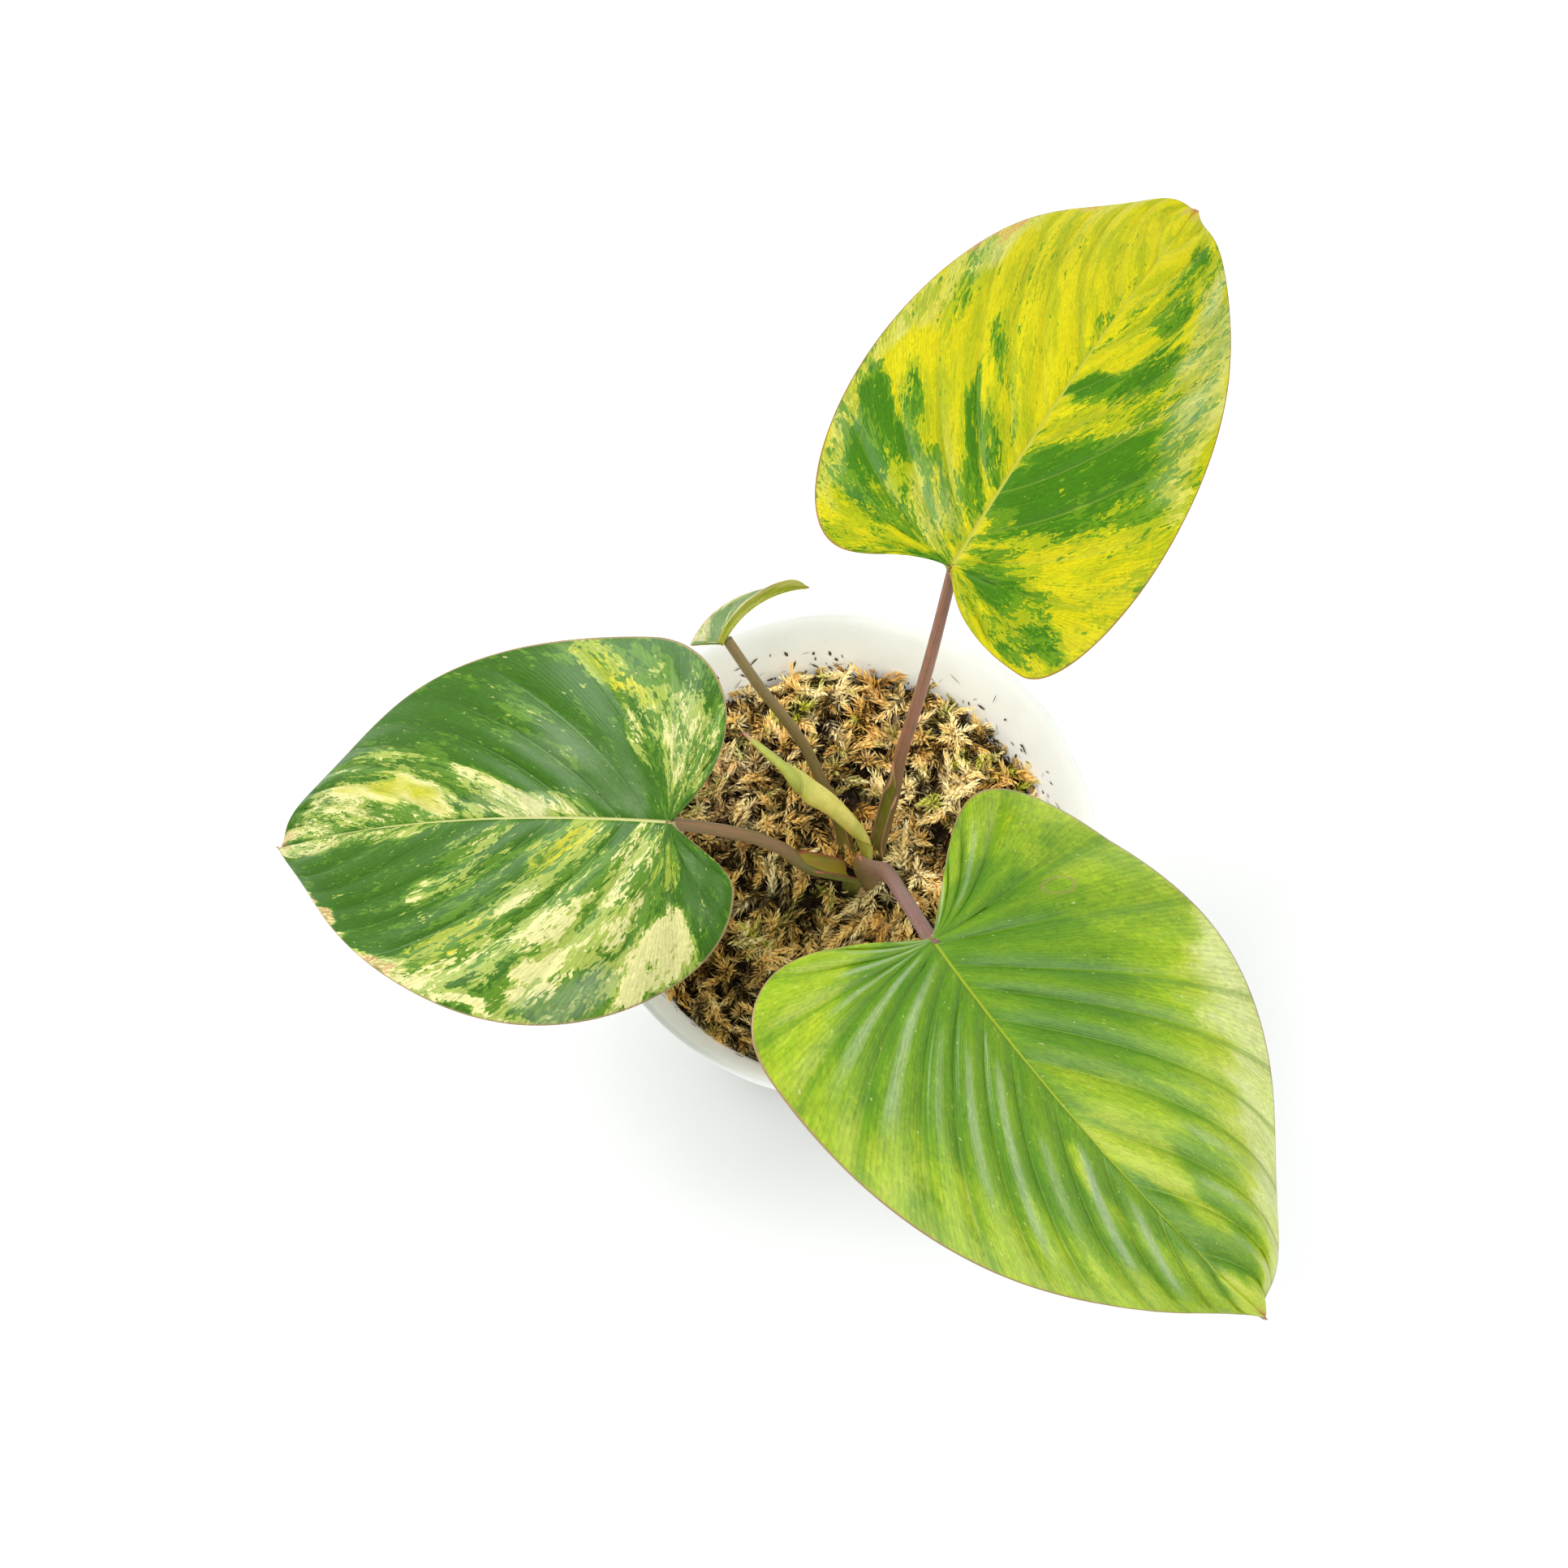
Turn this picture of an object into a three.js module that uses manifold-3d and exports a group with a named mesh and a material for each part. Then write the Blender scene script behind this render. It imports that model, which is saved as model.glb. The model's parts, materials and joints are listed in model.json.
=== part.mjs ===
// Potted aroid with heart-shaped variegated leaves, in a soft white pot of moss.
// Millimetres, +Z up. The origin is the centre of the pot's underside.
import * as THREE from "three";
import Module from "manifold-3d";
import { mergeVertices } from "three/addons/utils/BufferGeometryUtils.js";

const wasm = await Module();
wasm.setup();

// Clearance between pieces that touch on the real plant
const GAP = 0.3;

// Pot
const POT_HEIGHT = 100;
const POT_SEGMENTS = 64;
const WALL = 1.2;
const FLOOR = 1.6;
const POT_OUTSIDE = [
  [40.5, 0],
  [42.2, 1.4],
  [50, 40],
  [53.2, 62],
  [56.6, 78],
  [60.2, 90],
  [63.4, 97.4],
  [65, 98.6],
  [65.4, POT_HEIGHT - 0.5],
  [65, POT_HEIGHT],
];
const DRAIN_HOLES = 6;
const DRAIN_RADIUS = 3.5;
const DRAIN_CIRCLE = 28;

// Moss
const MOSS_EDGE_Z = 79;
const MOSS_DOME = 1.6;
const MOSS_RINGS = 8;
const TUFTS = 120;
const TUFT_SIDES = 4;

// Crown: where the stalks leave the short stem
const CROWN = new THREE.Vector3(6, -1, 76.3);
const CROWN_RING = 5.5;
const PIT_RADIUS = 12;
const STEM_RADIUS = 8.8;
const STEM_FOOT_Z = 46;
const ROOTS = [
  { turn: 15, dip: 38, length: 34 },
  { turn: 78, dip: 46, length: 36 },
  { turn: 140, dip: 34, length: 38 },
  { turn: 196, dip: 44, length: 36 },
  { turn: 255, dip: 36, length: 34 },
  { turn: 318, dip: 48, length: 34 },
];
const ROOT_RADIUS = 1.7;
const ROOT_TIP_RADIUS = 0.8;

// Blades. A side is: notch angle, lobe's reach back, lobe's half-width, place of the widest
// point, half-width there, angle at the tip, length of the straight run into the tip as a
// share of the way from the widest point. Angles are in degrees, from the midrib.
const BLADE_THICKNESS = 0.7;
const BLADE_COLUMNS = 6;
const VEIN_FAN = 0.3;
const VEIN_SWEEP = 1.6;
const LOBE_END = 0.22;
const WIDEST = 0.52;

const BLADES = {
  a: {
    sinus: [24.6, 41.4, 175],
    length: 129,
    left: [82, 10.5, 25, 46, 45.5, 88, 0.36],
    right: [26, 14, 26.5, 28, 41, 39, 0.26],
    heading: 59,
    yaw: -1,
    pitch: [6, -20],
    roll: [8, -13],
    cup: [0.1, 0.003],
    veins: 9,
    rows: 3,
    pleat: 0.45,
    wave: [1.3, 2.5, 0.6],
    color: 0xa9b63a,
  },
  b: {
    sinus: [-41.1, -11.8, 148],
    length: 112.5,
    left: [37.5, 16.5, 16, 32.5, 49, 39, 0.15],
    right: [44.5, 12, 24, 7, 43.5, 64, 0.36],
    heading: 173.5,
    yaw: 2.5,
    pitch: [-6, -42],
    roll: [-19, 7],
    cup: [0.1, 0.003],
    veins: 9,
    rows: 3,
    pleat: 0.45,
    wave: [1.5, 2, 1.9],
    color: 0x3f7a35,
  },
  c: {
    sinus: [18.7, -45.9, 165],
    length: 116,
    left: [47.5, 25, 36.5, 30, 65.5, 64, 0.39],
    right: [67.5, 11.5, 34.5, 6, 52, 20, 0.15],
    heading: -55.5,
    yaw: 20,
    pitch: [-4, -34],
    roll: [-20, -4.5],
    cup: [0.1, 0.003],
    veins: 10,
    rows: 4,
    pleat: 0.9,
    wave: [1.2, 3, 0.2],
    color: 0x4f8f2c,
  },
  d: {
    sinus: [-29.4, 35.4, 145],
    length: 28,
    left: [88, 1.5, 9, 3, 9, 20, 0.12],
    right: [85, 0.8, 2, 14, 3.2, 45, 0.36],
    heading: 66,
    yaw: -58,
    pitch: [4, -12],
    roll: [-70, -72],
    cup: [0.6, 0],
    veins: 6,
    rows: 3,
    pleat: 0.12,
    wave: [0.3, 1.5, 0],
    color: 0x8fa468,
  },
};

// Stalks: the way from the crown to the blade, the sheath's half-width at the foot and above
// it, the share of the length where the sheath ends, the stalk's radius there and at the top
const STALKS = {
  a: {
    turn: 50,
    path: [[10, 6, 93], [14, 15, 114], [20, 27.5, 145]],
    sheath: [4, 2.2],
    closed: 0.4,
    radius: [1.9, 1.4],
    color: 0x7a5545,
  },
  b: {
    turn: 215,
    path: [[-2, -7, 98], [-9.5, -9, 114.5], [-23, -9.8, 133]],
    sheath: [3.8, 3.4],
    closed: 0.5,
    radius: [1.9, 1.4],
    color: 0x86713c,
  },
  c: {
    turn: 295,
    path: [[7.2, -7.5, 97], [7.6, -11, 114], [10, -17.5, 130], [14, -33, 152]],
    sheath: [3.8, 3.4],
    closed: 0.4,
    radius: [2, 1.7],
    color: 0x7d6054,
  },
  d: {
    turn: 140,
    path: [[-2, 10, 99], [-9, 20, 116], [-21, 29, 136]],
    sheath: [4, 2.6],
    closed: 0.33,
    radius: [1.6, 1.2],
    color: 0x84703f,
  },
};
const SHEATH_DEPTH = 2.6;
const SHEATH_HOLLOW = 0.72;
const STALK_SIDES = 14;
const STALK_RINGS = 22;

// Rolled new leaf: its way up and its radius at each point
const SPEAR_PATH = [[6, -1, 76.3], [7, -0.6, 88], [3, 2.5, 104], [-3.5, 5.5, 115], [-8, 6.5, 121],
  [-15.5, 8.5, 134], [-24, 10, 150]];
const SPEAR_RADIUS = [1.6, 1.7, 2.2, 2.9, 3, 2.9, 1.6, 0.9, 0.3];
const SPEAR_LAP = 0.16;
const SPEAR_SIDES = 16;
const SPEAR_RINGS = 20;

// Loose chips: centre over the moss, length, width, thickness, turn and rise in degrees
const CHIPS = {
  a: { at: [16, 40.5], size: [12, 2.6, 1.8], turn: 93, rise: 4, color: 0xc9b596 },
  b: { at: [-20.9, -12.2], size: [5.5, 2.8, 1.4], turn: 12, rise: 0, color: 0x6b4a30 },
  c: { at: [-12, 50.5], size: [5, 4.4, 1.2], turn: 104, rise: 28, color: 0x7c5a3a },
};

const group = new THREE.Group();

function radians(degrees) {
  return (degrees * Math.PI) / 180;
}

// Seeded random numbers from 0 to 1
function dice(seed) {
  let state = seed;
  return () => {
    state = (state * 1664525 + 1013904223) % 4294967296;
    return state / 4294967296;
  };
}

function polar(turn, radius, z) {
  return new THREE.Vector3(radius * Math.cos(turn), radius * Math.sin(turn), z);
}

function addNode(name, geometry, color, roughness) {
  const material = new THREE.MeshStandardMaterial({ color, roughness, metalness: 0 });
  material.name = name;
  const mesh = new THREE.Mesh(geometry, material);
  mesh.name = name;
  group.add(mesh);
}

function bare(geometry) {
  const copy = geometry.clone();
  copy.deleteAttribute("normal");
  copy.deleteAttribute("uv");
  return mergeVertices(copy, 1e-4);
}

function toSolid(geometry) {
  const clean = bare(geometry);
  const mesh = new wasm.Mesh({
    numProp: 3,
    vertProperties: new Float32Array(clean.attributes.position.array),
    triVerts: new Uint32Array(clean.index.array),
  });
  return new wasm.Manifold(mesh);
}

function fromSolid(solid) {
  const mesh = solid.getMesh();
  const geometry = new THREE.BufferGeometry();
  geometry.setAttribute("position", new THREE.BufferAttribute(mesh.vertProperties, 3));
  geometry.setIndex(new THREE.BufferAttribute(mesh.triVerts, 1));
  return geometry;
}

function indexed(points, faces) {
  const geometry = new THREE.BufferGeometry();
  const flat = points.flatMap((p) => [p.x, p.y, p.z]);
  geometry.setAttribute("position", new THREE.Float32BufferAttribute(flat, 3));
  geometry.setIndex(faces);
  return geometry;
}

// A turned solid: its profile goes from the axis at the bottom, outside, to the axis at the top
function turned(profile, segments) {
  const outline = profile.map(([r, z]) => new THREE.Vector2(r, z));
  const geometry = new THREE.LatheGeometry(outline, segments);
  geometry.rotateX(Math.PI / 2);
  return geometry;
}

// A solid of rings of points with a flat cap at each end
function ringed(rings) {
  const count = rings[0].length;
  const points = rings.flat();
  const faces = [];
  for (let i = 0; i + 1 < rings.length; i += 1) {
    for (let j = 0; j < count; j += 1) {
      const a = i * count + j;
      const b = i * count + ((j + 1) % count);
      faces.push(a, b, b + count, a, b + count, a + count);
    }
  }
  const last = (rings.length - 1) * count;
  for (const [start, turn] of [[0, -1], [last, 1]]) {
    const centre = new THREE.Vector3();
    for (let j = 0; j < count; j += 1) {
      centre.addScaledVector(points[start + j], 1 / count);
    }
    points.push(centre);
    const c = points.length - 1;
    for (let j = 0; j < count; j += 1) {
      const a = start + j;
      const b = start + ((j + 1) % count);
      faces.push(...(turn > 0 ? [c, a, b] : [c, b, a]));
    }
  }
  return indexed(points, faces);
}

function rod(from, to, radiusFrom, radiusTo, sides) {
  const axis = new THREE.Vector3().subVectors(to, from);
  const geometry = new THREE.CylinderGeometry(radiusTo, radiusFrom, axis.length(), sides);
  geometry.translate(0, axis.length() / 2, 0);
  const up = new THREE.Vector3(0, 1, 0);
  geometry.applyQuaternion(new THREE.Quaternion().setFromUnitVectors(up, axis.clone().normalize()));
  geometry.translate(from.x, from.y, from.z);
  return geometry;
}

// Pot

function wallInside(z) {
  const outside = POT_OUTSIDE;
  for (let i = 1; i < outside.length; i += 1) {
    const [r0, z0] = outside[i - 1];
    const [r1, z1] = outside[i];
    if (z <= z1) {
      return r0 + ((r1 - r0) * (z - z0)) / (z1 - z0) - WALL;
    }
  }
  return 0;
}

function makePot() {
  const levels = [96.6, 90, 78, 62, 40, 6];
  const inside = levels.map((z) => [wallInside(z), z]);
  const profile = [[0, 0], ...POT_OUTSIDE, [63.9, POT_HEIGHT], ...inside];
  profile.push([wallInside(6) - 1.6, FLOOR + 0.8], [wallInside(6) - 3, FLOOR], [0, FLOOR]);
  let pot = toSolid(turned(profile, POT_SEGMENTS));
  for (let i = 0; i < DRAIN_HOLES; i += 1) {
    const at = polar((2 * Math.PI * (i + 0.5)) / DRAIN_HOLES, DRAIN_CIRCLE, -1);
    const top = at.clone().setZ(FLOOR + 1);
    pot = pot.subtract(toSolid(rod(at, top, DRAIN_RADIUS, DRAIN_RADIUS, 16)));
  }
  addNode("pot", fromSolid(pot), 0xe9e8e4, 0.45);
}

// Moss

// The moss's surface before its tufts: a low dome with slow lumps
function mossHeight(x, y) {
  const r = Math.hypot(x, y) / 56;
  const lumps = Math.sin(x * 0.13 + 1.1) * Math.cos(y * 0.11 - 0.4) + 0.6 * Math.sin((x + y) * 0.21);
  return MOSS_EDGE_Z + MOSS_DOME * (1 - r * r) + 0.8 * lumps * (1 - r * r * r);
}

function mossBody() {
  const rings = [];
  const ring = (radius, z) => {
    const points = [];
    for (let j = 0; j < POT_SEGMENTS; j += 1) {
      const p = polar((2 * Math.PI * j) / POT_SEGMENTS, radius, 0);
      points.push(p.setZ(z === null ? mossHeight(p.x, p.y) : z));
    }
    return points;
  };
  rings.push(ring(wallInside(6) - 3 - GAP, FLOOR + GAP));
  for (const z of [6.5, 40, 62]) {
    rings.push(ring(wallInside(z) - GAP, z));
  }
  const edge = wallInside(MOSS_EDGE_Z - 1) - GAP;
  rings.push(ring(edge, MOSS_EDGE_Z - 1));
  for (let i = 0; i < MOSS_RINGS; i += 1) {
    rings.push(ring(edge * (1 - (i + 0.12) / (MOSS_RINGS + 0.4)), null));
  }
  return toSolid(ringed(rings));
}

// One tuft: a leaning point with its root sunk in the moss
function tuft(x, y, roll) {
  const foot = new THREE.Vector3(x, y, mossHeight(x, y) - 1.6);
  const lean = polar(2 * Math.PI * roll(), 0.6 + 1.6 * roll(), 0);
  const tip = foot.clone().add(lean).add(new THREE.Vector3(0, 0, 3.2 + 2.4 * roll()));
  const shape = new THREE.ConeGeometry(2.6 + 1.4 * roll(), foot.distanceTo(tip), TUFT_SIDES);
  shape.translate(0, foot.distanceTo(tip) / 2, 0);
  shape.rotateY(Math.PI * roll());
  const axis = new THREE.Vector3().subVectors(tip, foot).normalize();
  const up = new THREE.Vector3(0, 1, 0);
  shape.applyQuaternion(new THREE.Quaternion().setFromUnitVectors(up, axis));
  shape.translate(foot.x, foot.y, foot.z);
  return toSolid(shape);
}

function rootLine(root) {
  const turn = radians(root.turn);
  const dip = radians(root.dip);
  const way = polar(turn, Math.cos(dip), -Math.sin(dip));
  const from = new THREE.Vector3(CROWN.x, CROWN.y, 62).addScaledVector(way, 4);
  return [from, from.clone().addScaledVector(way, root.length)];
}

// The short stem with its roots, grown all round by the given clearance
function stemSolid(extra) {
  const r = STEM_RADIUS + extra;
  const top = CROWN.z - GAP + extra;
  const profile = [[0, STEM_FOOT_Z - extra], [r - 3, STEM_FOOT_Z - extra], [r - 0.8, 52], [r - 1.6, 60],
    [r, 68], [r, top], [0, top]];
  const body = turned(profile, 16);
  body.translate(CROWN.x, CROWN.y, 0);
  let solid = toSolid(body);
  for (const root of ROOTS) {
    const [from, to] = rootLine(root);
    const end = to.clone().addScaledVector(to.clone().sub(from).normalize(), extra);
    solid = solid.add(toSolid(rod(from, end, ROOT_RADIUS + extra, ROOT_TIP_RADIUS + extra, 8)));
  }
  return solid;
}

function chipGeometry(chip, extra) {
  const [length, width, thick] = chip.size;
  const shape = new THREE.BoxGeometry(length + 2 * extra, width + 2 * extra, thick + 2 * extra);
  const places = shape.attributes.position;
  for (let i = 0; i < places.count; i += 1) {
    const taper = places.getX(i) > 0 ? 0.75 : 1;
    places.setY(i, places.getY(i) * taper);
  }
  shape.rotateY(radians(-chip.rise));
  shape.rotateZ(radians(chip.turn));
  const [x, y] = chip.at;
  shape.translate(x, y, mossHeight(x, y) + thick * 0.35);
  return shape;
}

function clearOfChips(x, y) {
  return Object.values(CHIPS).every(({ at }) => Math.hypot(x - at[0], y - at[1]) > 9.5);
}

function makeMoss() {
  const roll = dice(7);
  let moss = mossBody();
  const golden = Math.PI * (3 - Math.sqrt(5));
  const tufts = [];
  for (let i = 0; i < TUFTS; i += 1) {
    const radius = 51 * Math.sqrt((i + 0.5) / TUFTS);
    const x = radius * Math.cos(i * golden) + 2 * (roll() - 0.5);
    const y = radius * Math.sin(i * golden) + 2 * (roll() - 0.5);
    const clear = Math.hypot(x - CROWN.x, y - CROWN.y) > PIT_RADIUS + 5;
    if (clear && clearOfChips(x, y)) {
      tufts.push(tuft(x, y, roll));
    }
  }
  moss = moss.add(wasm.Manifold.union(tufts));
  const low = new THREE.Vector3(CROWN.x, CROWN.y, CROWN.z - 1);
  const high = low.clone().setZ(90);
  moss = moss.subtract(toSolid(rod(low, high, PIT_RADIUS - 0.6, PIT_RADIUS + 1, 24)));
  moss = moss.subtract(stemSolid(GAP));
  for (const chip of Object.values(CHIPS)) {
    moss = moss.subtract(toSolid(chipGeometry(chip, GAP)));
  }
  addNode("moss", fromSolid(moss), 0xa9854e, 0.95);
}

// Blades

function cubic(a, b, c, d, t) {
  const s = 1 - t;
  const mix = (k) => s * s * s * a[k] + 3 * s * s * t * b[k] + 3 * s * t * t * c[k] + t * t * t * d[k];
  return [mix(0), mix(1)];
}

// One side's edge in the flat blade, from the sinus (v = 0) round the lobe to the tip (v = 1).
// The first number runs along the midrib and the second out to the side.
function bladeEdge(length, side, v) {
  const [notch, back, lobe, wide, width, tip, run] = side;
  const reach = Math.hypot(back, lobe);
  if (v < LOBE_END) {
    const angle = radians(notch);
    const start = [-0.45 * reach * Math.cos(angle), 0.45 * reach * Math.sin(angle)];
    return cubic([0, 0], start, [-back, lobe - 0.27 * reach], [-back, lobe], v / LOBE_END);
  }
  if (v < WIDEST) {
    const swell = [-back, lobe + 0.6 * (width - lobe)];
    const shoulder = [wide - 0.5 * (wide + back), width];
    return cubic([-back, lobe], swell, shoulder, [wide, width], (v - LOBE_END) / (WIDEST - LOBE_END));
  }
  const rest = length - wide;
  const angle = radians(tip);
  const end = [length - run * rest * Math.cos(angle), run * rest * Math.sin(angle)];
  return cubic([wide, width], [wide + 0.5 * rest, width], end, [length, 0], (v - WIDEST) / (1 - WIDEST));
}

// A point of the flat blade: u goes out along the side vein that ends at the edge's point v
function bladeFlat(blade, side, v, u) {
  const edge = bladeEdge(blade.length, side, v);
  const rise = Math.max(0, (v - VEIN_FAN) / (1 - VEIN_FAN));
  const foot = [blade.length * rise ** VEIN_SWEEP, 0];
  const chord = Math.hypot(edge[0] - foot[0], edge[1]);
  const open = Math.min(1, v / VEIN_FAN);
  const start = side[0] + (Math.max(100, side[0] + 15) - side[0]) * open + 28 * rise;
  const angle = radians(start);
  const bend = [foot[0] - 0.42 * chord * Math.cos(angle), 0.42 * chord * Math.sin(angle)];
  const mix = (k) => (1 - u) * (1 - u) * foot[k] + 2 * (1 - u) * u * bend[k] + u * u * edge[k];
  return [mix(0), mix(1)];
}

// The mean of cos(a + b x) for x from 0 to 1
function meanCos(a, b) {
  return Math.abs(b) < 1e-6 ? Math.cos(a) : (Math.sin(a + b) - Math.sin(a)) / b;
}

// The midrib at a distance along it, with the directions of travel, left and up there
function midribAt(blade, along) {
  const x = Math.max(0, along / blade.length);
  const head = radians(blade.heading);
  const pitch = radians(blade.pitch[0]);
  const yawTo = radians(blade.yaw) * x;
  const dropTo = radians(blade.pitch[1] - blade.pitch[0]) * x;
  const quarter = Math.PI / 2;
  const plus = [head + pitch, yawTo + dropTo];
  const minus = [head - pitch, yawTo - dropTo];
  const mean = new THREE.Vector3(
    0.5 * (meanCos(...plus) + meanCos(...minus)),
    0.5 * (meanCos(plus[0] - quarter, plus[1]) + meanCos(minus[0] - quarter, minus[1])),
    meanCos(pitch - quarter, dropTo),
  );
  const h = head + yawTo;
  const p = pitch + dropTo;
  const forward = new THREE.Vector3(Math.cos(p) * Math.cos(h), Math.cos(p) * Math.sin(h), Math.sin(p));
  const left = new THREE.Vector3(-Math.sin(h), Math.cos(h), 0);
  const up = new THREE.Vector3().crossVectors(forward, left);
  const roll = radians(blade.roll[0] + ((blade.roll[1] - blade.roll[0]) * along) / blade.length);
  const side = left.clone().multiplyScalar(Math.cos(roll)).addScaledVector(up, Math.sin(roll));
  up.multiplyScalar(Math.cos(roll)).addScaledVector(left, -Math.sin(roll));
  const at = new THREE.Vector3(...blade.sinus).addScaledVector(mean, along);
  return { at, forward, side, up };
}

// A point of the blade's middle surface: cupped, pleated along its side veins, waved at the edge
function bladePoint(blade, sign, v, u) {
  const [along, out] = bladeFlat(blade, sign > 0 ? blade.left : blade.right, v, u);
  const { at, side, up } = midribAt(blade, along);
  const [cup, droop] = blade.cup;
  const [height, turns, phase] = blade.wave;
  const pleat = blade.pleat * Math.cos(2 * Math.PI * blade.veins * v) * Math.sin(Math.PI * u ** 0.7);
  const wave = height * u ** 3 * Math.sin(2 * Math.PI * turns * v + phase + (sign > 0 ? 0 : 1.7));
  const lift = cup * out - droop * out * out + pleat + wave * Math.min(1, 3 * v);
  return at.addScaledVector(side, sign * out).addScaledVector(up, lift);
}

function bladeSheet(blade) {
  const rows = blade.veins * blade.rows;
  const points = [];
  const keep = (point) => points.push(point) - 1;
  const base = keep(bladePoint(blade, 1, 0, 0));
  const tip = keep(bladePoint(blade, 1, 1, 0));
  const midrib = [];
  for (let i = 0; i < rows; i += 1) {
    midrib.push(i / rows <= VEIN_FAN ? base : keep(bladePoint(blade, 1, i / rows, 0)));
  }
  const faces = [];
  for (const sign of [1, -1]) {
    const grid = [];
    for (let i = 1; i < rows; i += 1) {
      const row = [midrib[i]];
      for (let j = 1; j <= BLADE_COLUMNS; j += 1) {
        row.push(keep(bladePoint(blade, sign, i / rows, j / BLADE_COLUMNS)));
      }
      grid.push(row);
    }
    grid.push(Array(BLADE_COLUMNS + 1).fill(tip));
    for (let i = 0; i + 1 < grid.length; i += 1) {
      for (let j = 0; j < BLADE_COLUMNS; j += 1) {
        const quad = [grid[i][j], grid[i + 1][j], grid[i + 1][j + 1], grid[i][j + 1]];
        if (sign < 0) {
          quad.reverse();
        }
        faces.push([quad[0], quad[1], quad[2]], [quad[0], quad[2], quad[3]]);
      }
    }
  }
  return { points, faces: faces.filter(([a, b, c]) => a !== b && b !== c && c !== a) };
}

// The sheet with its thickness: both faces alike, joined by a band round the open edge
function thickened({ points, faces }, thickness) {
  const sheet = indexed(points, faces.flat());
  sheet.computeVertexNormals();
  const normals = sheet.attributes.normal;
  const both = [];
  for (const half of [0.5, -0.5]) {
    points.forEach((p, i) => {
      const normal = new THREE.Vector3().fromBufferAttribute(normals, i);
      both.push(p.clone().addScaledVector(normal, half * thickness));
    });
  }
  const n = points.length;
  const used = new Set();
  const all = [];
  for (const [a, b, c] of faces) {
    all.push(a, b, c, a + n, c + n, b + n);
    for (const edge of [[a, b], [b, c], [c, a]]) {
      used.add(edge.join(" "));
    }
  }
  for (const edge of used) {
    const [a, b] = edge.split(" ").map(Number);
    if (!used.has(`${b} ${a}`)) {
      all.push(a, a + n, b + n, a, b + n, b);
    }
  }
  return indexed(both, all);
}

function makeBlade(name) {
  const blade = BLADES[name];
  addNode(`blade_${name}`, thickened(bladeSheet(blade), BLADE_THICKNESS), blade.color, 0.35);
}

// Stalks

// Frames along a curve that turn as little as they can, from a first side direction
function carried(curve, count, side) {
  const frames = [];
  let x = side.clone();
  for (let i = 0; i < count; i += 1) {
    const share = i / (count - 1);
    const along = curve.getTangentAt(share);
    x = x.clone().addScaledVector(along, -x.dot(along)).normalize();
    const y = new THREE.Vector3().crossVectors(along, x);
    frames.push({ share, at: curve.getPointAt(share), along, x, y });
  }
  return frames;
}

function smooth(from, to, value) {
  const t = Math.min(1, Math.max(0, (value - from) / (to - from)));
  return t * t * (3 - 2 * t);
}

function makeStalk(name) {
  const stalk = STALKS[name];
  const blade = BLADES[name];
  const turn = radians(stalk.turn);
  const foot = polar(turn, CROWN_RING, 0).add(CROWN);
  const seat = midribAt(blade, 1.6);
  const sag = Math.max(0, -blade.cup[0]) * stalk.radius[1];
  const top = seat.at.clone().addScaledVector(seat.up, -BLADE_THICKNESS / 2 - GAP - 0.05 - sag);
  const way = [foot, foot.clone().setZ(foot.z + 7), ...stalk.path.map((p) => new THREE.Vector3(...p)), top];
  const curve = new THREE.CatmullRomCurve3(way, false, "centripetal");
  const frames = carried(curve, STALK_RINGS, polar(turn + Math.PI / 2, 1, 0));
  const rings = frames.map(({ share, at, x, y }, i) => {
    const round = smooth(stalk.closed * 0.55, stalk.closed, share);
    const slim = stalk.radius[0] + (stalk.radius[1] - stalk.radius[0]) * share;
    const open = stalk.sheath[0] + (stalk.sheath[1] - stalk.sheath[0]) * smooth(0.03, 0.16, share);
    const half = open + (slim - open) * round;
    const deep = SHEATH_DEPTH + (slim - SHEATH_DEPTH) * round;
    const inner = -SHEATH_HOLLOW + (1 + SHEATH_HOLLOW) * round;
    const ring = [];
    for (let j = 0; j < STALK_SIDES; j += 1) {
      const angle = (2 * Math.PI * j) / STALK_SIDES;
      const out = Math.sin(angle) > 0 ? Math.sin(angle) * inner : Math.sin(angle);
      const point = at.clone().addScaledVector(x, half * Math.cos(angle)).addScaledVector(y, deep * out);
      ring.push(i === STALK_RINGS - 1 ? laidFlat(point, seat, top) : point);
    }
    return ring;
  });
  addNode(`petiole_${name}`, ringed(rings), stalk.color, 0.4);
}

// Moves a point along the blade's upright onto the plane of the stalk's top
function laidFlat(point, seat, top) {
  const off = point.clone().sub(top).dot(seat.up);
  return point.clone().addScaledVector(seat.up, -off);
}

// Rolled leaf

function makeSpear() {
  const way = SPEAR_PATH.map((p) => new THREE.Vector3(...p));
  const curve = new THREE.CatmullRomCurve3(way, false, "centripetal");
  const frames = carried(curve, SPEAR_RINGS, new THREE.Vector3(1, 0, 0));
  const rings = frames.map(({ share, at, x, y }) => {
    const place = share * (SPEAR_RADIUS.length - 1);
    const low = Math.min(SPEAR_RADIUS.length - 2, Math.floor(place));
    const radius = SPEAR_RADIUS[low] + (SPEAR_RADIUS[low + 1] - SPEAR_RADIUS[low]) * (place - low);
    const ring = [];
    for (let j = 0; j < SPEAR_SIDES; j += 1) {
      const open = j / (SPEAR_SIDES - 1);
      const r = radius * (1 - SPEAR_LAP * open);
      const angle = -2.2 + 2.4 * share + 2 * Math.PI * open * 0.985;
      ring.push(at.clone().addScaledVector(x, r * Math.cos(angle)).addScaledVector(y, r * Math.sin(angle)));
    }
    return ring;
  });
  addNode("rolled_leaf", ringed(rings), 0xa8b450, 0.4);
}

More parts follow.
